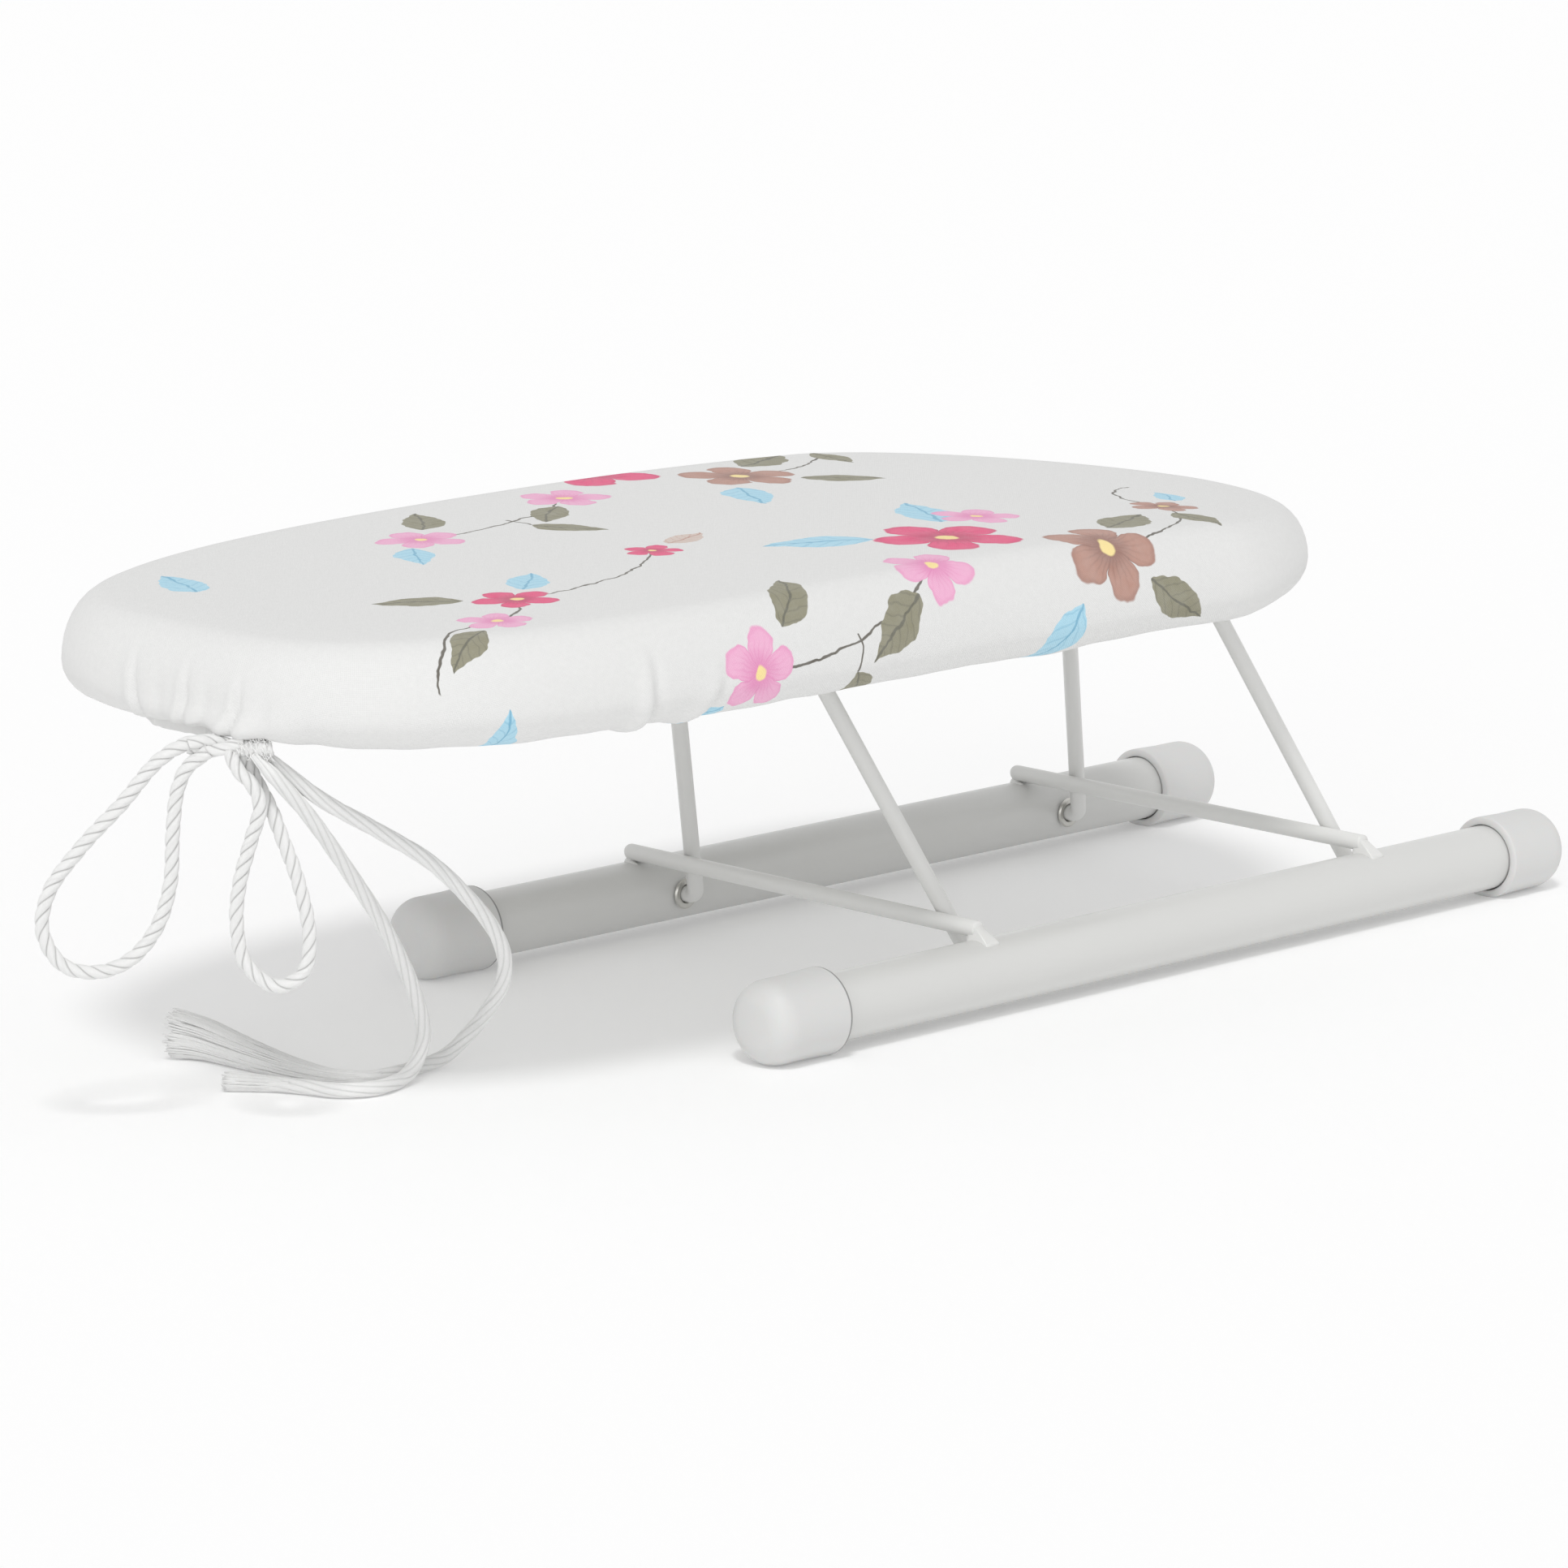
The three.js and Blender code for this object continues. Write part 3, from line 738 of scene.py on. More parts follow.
def fuzzyBinding(bm):
    points = []
    ends = knotShape["bindEnds"]
    steps = knotShape["bindTurns"] * knotShape["turnSteps"]
    for i in range(steps + 1):
        share = i / steps
        size = knotShape["bindRadius"] * (ends + (1 - ends) * math.sin(math.pi * share) ** 0.5)
        points.append(roundBinding(share, size, share * knotShape["bindTurns"] * math.tau))
    line = yarnLine(points)
    return runSection(bm, roundSection(knotShape["bindYarn"] * mm, 10), line), line


def bindingFluff(bm):
    draw = random.Random(knotShape["seed"])
    section = roundSection(knotShape["fluffRadius"] * mm, 4)
    surface = knotShape["bindRadius"] + knotShape["bindYarn"] * knotShape["fluffRoot"]
    steps = knotShape["fluffSteps"]
    for i in range(knotShape["fluff"]):
        share = draw.random()
        angle = draw.uniform(0, math.tau)
        lean = draw.uniform(-knotShape["fluffLean"], knotShape["fluffLean"])
        points = []
        for k in range(steps + 1):
            length = knotShape["fluffLength"] * k / steps * draw.uniform(knotShape["fluffUneven"], 1.0)
            points.append(roundBinding(share, surface + length, angle + lean * k / steps, lean * k))
        runSection(bm, section, points)


def makeKnot():
    bm = yarnMesh()
    radius = bow["diameter"] / 2 * mm
    rings, lines = twistedPair(bm, radius)
    line = yarnLine([fromKnot(across, knotShape["coreDown"], 0) for across in knotShape["core"]])
    rings += laidCord(bm, line, laid, radius * knotShape["coreShare"])
    lines += line
    bound, line = fuzzyBinding(bm)
    yarnMaps(bm, rings + bound, lines + line)
    bindingFluff(bm)
    markCreases(bm, bow["creases"])
    return makePiece("bowKnot", bm, cordYarn, "deck", "cord_cotton", "bow_knot")


companions = {"leftLoop": makeKnot(), **frays}
print("bow tied")


# foot tubes and their end caps
base = {
    "tubeRadius": 11.0,
    "tubeWall": 1.2,
    "tubeSides": 64,
    "capRadius": 14.0,
    "capSides": 72,
    "capClearance": 0.3,
    "capRound": 8.4,
    "capRoundSteps": 12,
    "capDome": (0.25, 0.3),
    "capLip": 1.0,
    "capEdge": 0.55,
    "capFlare": 0.35,
    "wireRadius": 2.75,
    "wireSides": 28,
}


def makeTube(name, node):
    low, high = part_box(node)
    radius = base["tubeRadius"] * mm
    bore = radius - base["tubeWall"] * mm
    length = high.x - low.x
    start = Vector((low.x, (low.y + high.y) / 2, (low.z + high.z) / 2))
    profile = [(0, bore), (0, radius), (length, radius), (length, bore)]
    bm = bmesh.new()
    turnedForm(bm, profile, start, (1, 0, 0), base["tubeSides"], True)
    markCreases(bm)
    makePiece(name, bm, whitePaint, "base", "white_steel", node)


def makeCap(name, node, outward):
    low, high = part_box(node)
    radius, lip, edge, flare, curve = (
        base["cap" + key] * mm for key in ("Radius", "Lip", "Edge", "Flare", "Round"))
    shoulder, crown = (rise * mm for rise in base["capDome"])
    bore = (base["tubeRadius"] + base["capClearance"]) * mm
    length = high.x - low.x
    mouth = low.x if outward > 0 else high.x
    start = Vector((mouth, (low.y + high.y) / 2, high.z - radius))
    profile = [(4 * lip, bore), (0.25 * lip, bore), (0, bore + lip * 0.5), (0.2 * lip, radius - lip * 0.4),
               (0.6 * lip, radius - 0.05 * lip), (0.6 * lip + edge, radius), (0.6 * lip + 1.4 * edge, radius),
               (length * 0.4, radius - flare)]
    for i in range(base["capRoundSteps"] + 1):
        angle = math.pi / 2 * i / base["capRoundSteps"]
        profile.append((
            length - curve + curve * math.sin(angle),
            radius - flare - curve + curve * math.cos(angle)))
    profile += [(length + shoulder, (radius - curve) * 0.5), (length + crown, 0)]
    bm = bmesh.new()
    # painted shade mark: the bore and, on the front caps, the outer edge by the tube turn darker grey in the
    # finish
    mouthShade = bm.verts.layers.float.new("mouthShade")
    turnedForm(bm, profile, start, (outward, 0, 0), base["capSides"], False)
    for vert in bm.verts:
        reach = math.hypot(vert.co.y - start.y, vert.co.z - start.z)
        deep = abs(vert.co.x - mouth)
        inBore = reach < bore + 0.1 * lip and deep < 5 * lip
        onEdge = reach > radius - 0.2 * lip and deep < 0.6 * lip + 1.1 * edge
        vert[mouthShade] = 1.0 if inBore or (onEdge and outward < 0) else 0.0
        vert.co.z = max(vert.co.z, 0.0)
    markCreases(bm, 50)
    makePiece(name, bm, capPlastic, "base", "cap_plastic", node)


for side in ("near", "far"):
    makeTube(side + "FootTube", side + "_foot_tube")
    makeCap(side + "FrontCap", side + "_front_cap", -1)
    makeCap(side + "RearCap", side + "_rear_cap", 1)


# pivot eyelets in the tubes' inner walls
eyeletShape = {"bore": 3.05, "wall": 0.9, "brim": 2.2, "brimSheet": 1.0, "round": 0.35, "sides": 36}


def makeEyelet(name, node, inward):
    low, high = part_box(node)
    middle = (low + high) / 2
    depth = high.y - low.y
    bore = eyeletShape["bore"] * mm
    sheet = eyeletShape["brimSheet"] * mm
    edge = eyeletShape["round"] * mm
    brim = bore + eyeletShape["brim"] * mm
    barrel = bore + eyeletShape["wall"] * mm
    start = Vector((middle.x, low.y if inward > 0 else high.y, middle.z))
    profile = [(0, bore), (0, barrel), (depth - sheet, barrel), (depth - sheet, brim - edge),
               (depth - sheet + edge, brim), (depth - edge, brim - 0.3 * edge), (depth, brim - 1.5 * edge),
               (depth, bore + edge), (depth - edge, bore)]
    bm = bmesh.new()
    turnedForm(bm, profile, start, (0, inward, 0), eyeletShape["sides"], True)
    markCreases(bm)
    makePiece(name, bm, zincPlating, "base", "plated_steel", node)


for side, inward in (("near", 1), ("far", -1)):
    for end in ("front", "rear"):
        makeEyelet(side + end.title() + "Eyelet", f"{side}_{end}_eyelet", inward)


# stop bars lie across the tubes: far ends rounded over and beaded, near ends cut and welded with a wedge
barShape = {
    "droop": 0.5, "round": 2.4, "roundSteps": 8, "tip": 0.12, "farPast": 1.0, "nearShort": 4.6,
    "chamfer": 0.4}
weldBeads = [
    {"aside": -1.9, "past": 0.0, "sink": 0.5, "size": (1.3, 3.0, 1.0)},
    {"aside": 1.9, "past": 0.0, "sink": 0.5, "size": (1.3, 3.0, 1.0)},
    {"aside": 0.0, "past": 1.6, "sink": 0.7, "size": (2.9, 2.2, 2.4)},
]
weldLumps = {"depth": 0.12, "scale": 2, "apart": 500}
weldWedge = {
    "tuck": 3.0, "top": 4.3, "topIn": 0.3, "halfTop": 1.7, "halfFoot": 3.0, "foot": 6.6, "drop": 0.3,
    "sunk": 1.6, "round": 0.4}


def addBead(bm, facts, x, y, top):
    spot = Vector((x + facts["aside"] * mm, y + facts["past"] * mm, top - facts["sink"] * mm))
    for vert in bmesh.ops.create_icosphere(bm, subdivisions=3, radius=1.0)["verts"]:
        wave = noise.noise(vert.co * weldLumps["scale"] + spot * weldLumps["apart"])
        lump = 1 + weldLumps["depth"] * wave
        vert.co = spot + Vector([part * lump * size * mm for part, size in zip(vert.co, facts["size"])])


def addWedge(bm, x, cut, top):
    wedge = bmesh.new()
    facts = weldWedge
    corners = []
    for side in (-1, 1):
        corners += [
            (side * facts["halfTop"], facts["topIn"], facts["top"]),
            (side * facts["halfTop"], facts["tuck"], facts["top"] / 2),
            (side * facts["halfFoot"], facts["tuck"], -facts["sunk"]),
            (side * facts["halfFoot"], -facts["foot"], -facts["drop"]),
            (side * facts["halfFoot"], -facts["foot"], -facts["sunk"])]
    verts = [wedge.verts.new(Vector(corner) * mm + Vector((x, cut, top))) for corner in corners]
    bmesh.ops.convex_hull(wedge, input=verts)
    bmesh.ops.bevel(
        wedge, geom=wedge.edges[:], offset=facts["round"] * mm, segments=3, profile=0.5,
        affect="EDGES", material=-1)
    mesh = meshFrom("weldWedge", wedge)
    bm.from_mesh(mesh)
    bpy.data.meshes.remove(mesh)


def makeStopBar(name, node):
    low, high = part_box(node)
    radius = base["wireRadius"] * mm
    middle = (low + high) / 2
    height = high.z - radius
    curve = barShape["round"] * mm
    reach = high.y + barShape["farPast"] * mm
    cut = low.y + barShape["nearShort"] * mm
    chamfer = barShape["chamfer"] * mm
    ends = [(cut, 1 - chamfer / radius), (cut + chamfer, 1.0)]
    for i in range(barShape["roundSteps"], -1, -1):
        angle = math.pi / 2 * i / barShape["roundSteps"]
        ends.append((reach - curve + curve * math.cos(angle), max(barShape["tip"], math.sin(angle))))
    line = []
    for y, size in ends:
        sunk = barShape["droop"] * mm * (1 - size) if y > 0 else 0.0
        line.append(Vector((middle.x, y, height - sunk)))
    bm = bmesh.new()
    runSection(bm, roundSection(radius, base["wireSides"]), line, None, [size for y, size in ends])
    tubeLow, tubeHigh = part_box("far_foot_tube")
    for facts in weldBeads:
        addBead(bm, facts, middle.x, (tubeLow.y + tubeHigh.y) / 2, tubeHigh.z)
    addWedge(bm, middle.x, cut, tubeHigh.z)
    markCreases(bm, 60)
    makePiece(name, bm, wirePaintWithPaintedLight, "base", "white_steel", node)


for end in ("front", "rear"):
    makeStopBar(end + "StopBar", end + "_stop_bar")


# legs: one bent wire each
legShape = {"foot": 63.5, "taper": 0.3233, "bend": 4.5, "bendSteps": 8}


def bentLine(corners, bend, steps):
    line = [corners[0]]
    for before, corner, after in zip(corners, corners[1:], corners[2:]):
        into = (before - corner).normalized()
        out = (after - corner).normalized()
        half = into.angle(out) / 2
        centre = corner + (into + out).normalized() * (bend / math.sin(half))
        start = corner + into * (bend / math.tan(half)) - centre
        finish = corner + out * (bend / math.tan(half)) - centre
        axis = start.cross(finish).normalized()
        sweep = start.angle(finish)
        for i in range(steps + 1):
            line.append(centre + Matrix.Rotation(sweep * i / steps, 3, axis) @ start)
    line.append(corners[-1])
    return line


def makeLeg(name, node, body, pivot, hinge):
    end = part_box(node)[1].y
    foot = legShape["foot"] * mm
    top = foot - legShape["taper"] * (hinge.z - pivot.z)
    right = [Vector((pivot.x, y, pivot.z)) for y in (end, foot)] + [Vector((hinge.x, top, hinge.z))]
    left = [Vector((p.x, -p.y, p.z)) for p in reversed(right)]
    line = bentLine(right + left, legShape["bend"] * mm, legShape["bendSteps"])
    bm = bmesh.new()
    runSection(bm, roundSection(base["wireRadius"] * mm, base["wireSides"]), line)
    markCreases(bm, 60)
    makePiece(name, bm, wirePaintWithPaintedLight, body, "white_steel", node)


frontPivot = pivotOf("leg_fold")
rearPivot = pivotOf("rear_leg_fold")
frontHinge = pivotOf("deck_level")
rearHinge = frontHinge + rearPivot - frontPivot
makeLeg("frontLegWire", "front_leg_wire", "front_leg", frontPivot, frontHinge)
makeLeg("rearLegWire", "rear_leg_wire", "rear_leg", rearPivot, rearHinge)
print("base and legs ready")


# the board's plan: full nose, rounder rear
board = {
    "length": 465.6,
    "width": 214.6,
    "noseTaper": 239.0,
    "noseFullness": 3.3,
    "rearTaper": 103.0,
    "rearFullness": 1.75,
    "widestZ": 129.2,
    "crownHeight": 24.0,
    "crownRound": 13.7,
    "crownRings": 21,
    "crownStep": 0.045,
    "noseDrop": 3.7,
    "rearDrop": 10.3,
    "underHeight": 12.3,
    "underRound": 18.3,
    "hemInset": 20.3,
    "hemRadius": 3.4,
    "outlineSteps": 400,
    "grain": 0.3,
    "headingGrains": 8,
    "step": 2.8,
    "fineStep": 0.95,
    "fineZones": ((-70, 70), (-172, -128)),
}
coverLow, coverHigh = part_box("cover")
boardMiddle = (coverLow.x + coverHigh.x) / 2 / mm
noseX = boardMiddle - board["length"] / 2
rearX = boardMiddle + board["length"] / 2


def endCurve(tip, taper, fullness):
    curve = []
    for i in range(board["outlineSteps"] + 1):
        angle = math.pi / 2 * i / board["outlineSteps"]
        curve.append(Vector((
            tip + taper * (1 - math.cos(angle) ** (2 / fullness)),
            board["width"] / 2 * math.sin(angle) ** (2 / fullness), 0)))
    return curve


def boardOutline():
    half = endCurve(noseX, board["noseTaper"], board["noseFullness"])
    half += reversed(endCurve(rearX, -board["rearTaper"], board["rearFullness"]))
    mirrored = [Vector((p.x, -p.y, 0)) for p in reversed(half)]
    grain, heading = board["grain"], board["headingGrains"]
    line = evenLine(half + mirrored, grain)[:-1]
    count = len(line)
    bowSpot = Vector((noseX, bow["knot"].y / mm, 0))
    bowAt = min(range(count), key=lambda i: (line[i] - bowSpot).length)
    picked, gone = [], board["step"]
    for i, point in enumerate(line):
        away = ((i - bowAt + count // 2) % count - count // 2) * grain
        fine = any(low < away < high for low, high in board["fineZones"])
        if gone >= (board["fineStep"] if fine else board["step"]):
            ahead = line[(i + heading) % count] - line[i - heading]
            picked.append((point, Vector((-ahead.y, ahead.x, 0)).normalized(), away))
            gone = 0.0
        gone += grain
    return picked, count * grain


def topFall(x):
    share = (x - boardMiddle) / (board["length"] / 2)
    return (board["noseDrop"] if share < 0 else board["rearDrop"]) * share * share


stations, outlineLength = boardOutline()
crownShares = [1 - board["crownStep"] * (i + 1) for i in range(board["crownRings"])]


# rows of the cover's profile: kind, inset, height or share of the crown, flat distance from the crown line
def coverRows(offset):
    rows, spots = [], []

    def addRow(kind, spot, level):
        flat = rows[-1][3] + math.dist(spot, spots[-1]) if rows else 0.0
        rows.append((kind, spot[0], level, flat))
        spots.append(spot)

    crown, high = board["crownRound"] - offset, board["crownHeight"] - offset
    for degrees in range(90, -1, -10):
        angle = math.radians(degrees)
        inset = board["crownRound"] - crown * math.cos(angle)
        addRow("crown", (inset, high * math.sin(angle)), math.sin(angle))
    under, low = board["underRound"] - offset, board["underHeight"] - offset
    for degrees in range(12, 85, 12):
        angle = math.radians(degrees)
        level = -low * math.sin(angle)
        addRow("under", (board["underRound"] - under * math.cos(angle), level), level)
    curl = board["hemRadius"] - offset
    for degrees in range(-90, 61, 30):
        angle = math.radians(degrees)
        level = board["hemRadius"] - board["underHeight"] + curl * math.sin(angle)
        addRow("hem", (board["hemInset"] + curl * math.cos(angle), level), level)
    return rows


# small folds: creases that fan from the bow, a slack hem, and the hem drawn out to the knot
folds = {
    "crownDrop": 0.35,
    "joinEase": 30.0,
    "gatherDepth": 0.9,
    "gatherReach": 48.0,
    "gatherPitches": (6.0, 13.0),
    "slack": 0.5,
    "slackPitches": (30.0, 12.0),
    "hemWave": 1.3,
    "hemPitches": (46.0, 17.0),
    "drawn": 13.5,
    "drawnLeft": 50.0,
    "drawnRight": 17.0,
    "drawnUp": 3.8,
    "pinchDown": 1.4,
    "pinchReach": 7.5,
    "lipFrom": 11.0,
    "lipRise": 3.0,
    "lipTo": 66.0,
    "lipFade": 30.0,
    "lipCalm": 0.8,
    "lipGroove": 1.5,
    "grooveAt": 0.955,
    "grooveWide": 0.035,
    "lipEdge": 0.985,
    "lipOut": 3.0,
    "lipDown": 2.2,
}
creases = [
    {"away": 41.0, "depth": 1.3, "width": 1.5, "top": 0.08, "lean": 5.0, "dip": 0.4},
    {"away": 31.0, "depth": 0.6, "width": 2.4, "top": 0.14, "lean": 3.0, "dip": 0.3},
    {"away": 20.5, "depth": 1.5, "width": 1.4, "top": 0.1, "lean": 0.0, "dip": 0.4},
    {"away": 12.0, "depth": 0.7, "width": 1.9, "top": 0.16, "lean": -1.0, "dip": 0.6},
    {"away": 0.8, "depth": 1.8, "width": 1.4, "top": 0.12, "lean": -4.0, "dip": 0.2},
    {"away": -9.0, "depth": 0.7, "width": 2.6, "top": 0.2, "lean": -4.0, "dip": 0.5},
    {"away": -24.0, "depth": 0.5, "width": 4.0, "top": 0.2, "lean": -2.0, "dip": 0.9},
    {"away": -140.4, "depth": 1.6, "width": 2.0, "top": 0.1, "lean": 3.0, "dip": 1.6},
    {"away": -159.8, "depth": 0.9, "width": 2.0, "top": 0.18, "lean": -7.0, "dip": 1.3},
]
creaseForm = {
    "reach": 9, "ease": 0.28, "narrow": 0.7, "widen": 0.5, "ridgeAway": 2.1, "ridgeWide": 1.7,
    "ridgeShare": 0.75, "dipFrom": 0.3, "dipTo": 0.8, "valleyShare": 0.5}


def ripple(place, pitch, seed):
    return noise.noise(Vector((place / pitch, seed * 7.3, seed * 1.7))) * 1.6


def eased(value, low, high):
    share = max(0.0, min(1.0, (value - low) / (high - low)))
    return share * share * (3 - 2 * share)


def bell(value, width):
    return math.exp(-(value / width) ** 2)


def creaseAt(away, drop):
    form = creaseForm
    dipped = eased(drop, form["dipFrom"], form["dipTo"])
    outward, downward = 0.0, 0.0
    for crease in creases:
        apart = away - crease["away"] - crease["lean"] * (1 - drop)
        if abs(apart) > form["reach"] * crease["width"]:
            continue
        shown = eased(drop, crease["top"], crease["top"] + form["ease"])
        width = crease["width"] * (form["narrow"] + form["widen"] * drop)
        valley = bell(apart, width)
        ridge = bell(apart - form["ridgeAway"] * width, form["ridgeWide"] * width)
        outward += crease["depth"] * shown * (form["ridgeShare"] * ridge - valley)
        downward += crease["dip"] * dipped * (ridge - form["valleyShare"] * valley)
    return outward, downward


# how far the cloth moves out and up: away runs along the edge from the bow,
# drop from 0 on the crown to 1 at the hem
def foldShift(away, drop, kind):
    ease = min(1.0, (outlineLength / 2 - abs(away)) / folds["joinEase"])
    near = bell(away, folds["gatherReach"])
    fine, wide = folds["gatherPitches"]
    gather = ripple(away, fine, 1) * 0.5 + ripple(away, wide, 2)
    wide, fine = folds["slackPitches"]
    slack = ripple(away, wide, 3) + 0.4 * ripple(away, fine, 4)
    wide, fine = folds["hemPitches"]
    wave = ripple(away, wide, 5) + 0.35 * ripple(away, fine, 6)
    outward = ease * (near * folds["gatherDepth"] * gather + folds["slack"] * slack) * drop ** 1.4
    upward = ease * folds["hemWave"] * wave * drop ** 3
    lip = eased(away, folds["lipFrom"], folds["lipFrom"] + folds["lipRise"])
    lip *= eased(away, folds["lipTo"], folds["lipTo"] - folds["lipFade"])
    calm = 1 - folds["lipCalm"] * lip * eased(drop, 0.85, 0.97)
    creaseOut, creaseDown = creaseAt(away, drop)
    hang = max(0.0, (drop - folds["crownDrop"]) / (1 - folds["crownDrop"]))
    drawn = bell(away, folds["drawnLeft"] if away > 0 else folds["drawnRight"])
    outward = outward * calm + creaseOut * calm + folds["drawn"] * drawn * hang ** 1.5
    upward += folds["drawnUp"] * drawn * hang - creaseDown * calm
    upward -= folds["pinchDown"] * bell(away, folds["pinchReach"]) * hang
    if kind == "under":
        groove = folds["lipGroove"] * lip * bell(drop - folds["grooveAt"], folds["grooveWide"])
        outward -= groove
        upward += 0.5 * groove
    if drop > folds["lipEdge"]:
        outward += folds["lipOut"] * lip
        upward -= folds["lipDown"] * lip
    return outward, upward


def coverPoint(i, row, offset, folded):
    kind, inset, level, flat = row
    point, out, away = stations[i]
    crownDrop = folds["crownDrop"]
    rise, drop = level, 1.0
    if kind == "crown":
        rise = (board["crownHeight"] - offset - topFall(point.x)) * level
        drop = (1 - level) * crownDrop
    elif kind == "under":
        drop = crownDrop + (1 - crownDrop) * min(1.0, -level / board["underHeight"])
    spot = point - out * inset
    spot.z = board["widestZ"] + rise
    if folded:
        outward, upward = foldShift(away, drop, kind)
        spot += out * outward
        spot.z += upward
    return spot * mm


# place of a station on the flat cut, at a distance from the crown line
def flatSpot(i, flat):
    point, out, away = stations[i]
    return point + out * (flat - board["crownRound"])


# rows run down from the crown line, rings run in from it; returns the flat places and the open edge
def loftBoard(bm, rows, offset, shares, folded):
    first = [bm.verts.new(coverPoint(i, rows[0], offset, folded)) for i in range(len(stations))]
    crownLoop = [bm.edges.new((first[i - 1], first[i])) for i in range(len(first))]
    crownRing = {vert: i for i, vert in enumerate(first)}
    flatPlace = {vert: flatSpot(i, 0) for vert, i in crownRing.items()}

    def nextRing(loop, order, place, flatten):
        made = bmesh.ops.extrude_edge_only(bm, edges=loop)["geom"]
        edges = [item for item in made if isinstance(item, bmesh.types.BMEdge)]
        fresh = {}
        for vert in (item for item in made if isinstance(item, bmesh.types.BMVert)):
            source = next(e.other_vert(vert) for e in vert.link_edges if e.other_vert(vert) in order)
            fresh[vert] = order[source]
            vert.co = place(order[source])
            flatPlace[vert] = flatten(order[source])
        return edges, fresh

    loop, ring = crownLoop, crownRing
    for row in rows[1:]:
        loop, ring = nextRing(
            loop, ring, lambda i: coverPoint(i, row, offset, folded), lambda i: flatSpot(i, row[3]))
    openLoop = loop
    loop, ring = crownLoop, crownRing
    centre = Vector((boardMiddle, 0, 0))
    for share in shares:
        def topFlat(i):
            return centre + (flatSpot(i, 0) - centre) * share

        def topSpot(i):
            spot = topFlat(i)
            spot.z = board["widestZ"] + board["crownHeight"] - offset - topFall(spot.x)
            return spot * mm

        loop, ring = nextRing(loop, ring, topSpot, topFlat)
    bmesh.ops.edgeloop_fill(bm, edges=loop)
    return flatPlace, openLoop


def flatMap(bm, flatPlace):
    maps = bm.loops.layers.uv["cut"]
    for face in bm.faces:
        for loop in face.loops:
            spot = flatPlace[loop.vert]
            loop[maps].uv = ((spot.x - boardMiddle) * mm, spot.y * mm)


# the pad under the cover
padShape = {"inside": 2.4, "rows": 9, "fill": 0.9}


def makePad():
    bm = bmesh.new()
    rows = coverRows(padShape["inside"])[:padShape["rows"]]
    flatPlace, openLoop = loftBoard(bm, rows, padShape["inside"], crownShares[::2], False)
    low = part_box("foam_pad")[0].z
    for edge in openLoop:
        for vert in edge.verts:
            vert.co.z = low
    bmesh.ops.edgeloop_fill(bm, edges=openLoop)
    bmesh.ops.recalc_face_normals(bm, faces=bm.faces)
    markCreases(bm, 50)
    piece = makePiece("foamPad", bm, padFoam, "deck", "foam", "foam_pad")


makePad()
print("pad ready")


# printed cover: own scattered flowers, leaves and stems, placed on the flat cut in millimetres
palette = {
    "cloth": linear(231, 231, 230),
    "clothShade": linear(222, 222, 221),
    "pink": linear(240, 172, 208),
    "pinkDeep": linear(224, 120, 178),
    "magenta": linear(228, 52, 118),
    "magentaDeep": linear(176, 24, 84),
    "mocha": linear(182, 134, 118),
    "mochaDeep": linear(132, 88, 76),
    "taupe": linear(212, 194, 184),
    "taupeDeep": linear(182, 134, 118),
    "sky": linear(168, 216, 236),
    "skyDeep": linear(112, 178, 208),
    "olive": linear(134, 130, 104),
    "oliveDeep": linear(88, 86, 66),
    "stem": linear(84, 78, 66),
    "heart": linear(250, 226, 150),
}
printRepeat = {"wide": 460.0, "high": 166.0, "shift": (284.0, 160.0)}
blossoms = [
    (318, 94, 25, 0.3, "magenta"), (356, 60, 21, 1.1, "mocha"), (280, 64, 16, 2.0, "pink"),
    (356, 118, 15, 0.7, "pink"), (196, 40, 15, 1.4, "pink"), (150, 112, 14, 0.2, "magenta"),
    (124, 92, 12, 0.9, "pink"), (426, 100, 12, 0.5, "mocha"), (234, 140, 10, 1.9, "magenta"),
]
leaves = [
    (338, 116, 40, 0.95, "sky"), (298, 106, 38, 2.6, "sky"), (372, 76, 36, 0.3, "olive"),
    (338, 42, 34, -2.2, "sky"), (370, 46, 30, -0.7, "olive"), (268, 54, 30, 3.7, "olive"),
    (208, 52, 30, 0.8, "olive"), (184, 30, 27, -2.3, "sky"), (238, 34, 26, -1.2, "olive"),
    (138, 122, 28, 2.4, "olive"), (162, 122, 27, 0.6, "sky"), (112, 84, 24, 3.5, "olive"),
    (440, 108, 22, 0.9, "sky"), (418, 88, 26, -1.9, "olive"), (92, 26, 30, 1.1, "sky"),
    (246, 146, 22, 0.2, "taupe"),
]
stems = [
    (280, 64, 196, 40, 0.1), (238, 46, 238, 34, 0.1), (150, 112, 124, 92, 0.12), (124, 92, 84, 70, -0.15),
    (150, 112, 234, 140, -0.12), (356, 60, 426, 100, -0.16), (426, 100, 452, 140, 0.2),
]
blossomForm = {"halfPetals": 2.5, "waist": 0.42, "lobe": 0.55, "lobeSquare": 0.55, "veins": 30.0}
leafForm = {"belly": 0.8, "arch": 0.12, "halfWidth": 0.24, "ribs": 40.0, "ribShare": 0.4}
stemForm = {"edge": 0.62, "solid": 0.3}
clothLook = {
    "pitch": 0.0009, "wanderScale": 130, "wander": 0.0045, "washScale": 160, "washRough": 0.6, "wash": 0.22,
    "depth": 0.00012, "shown": 0.5}


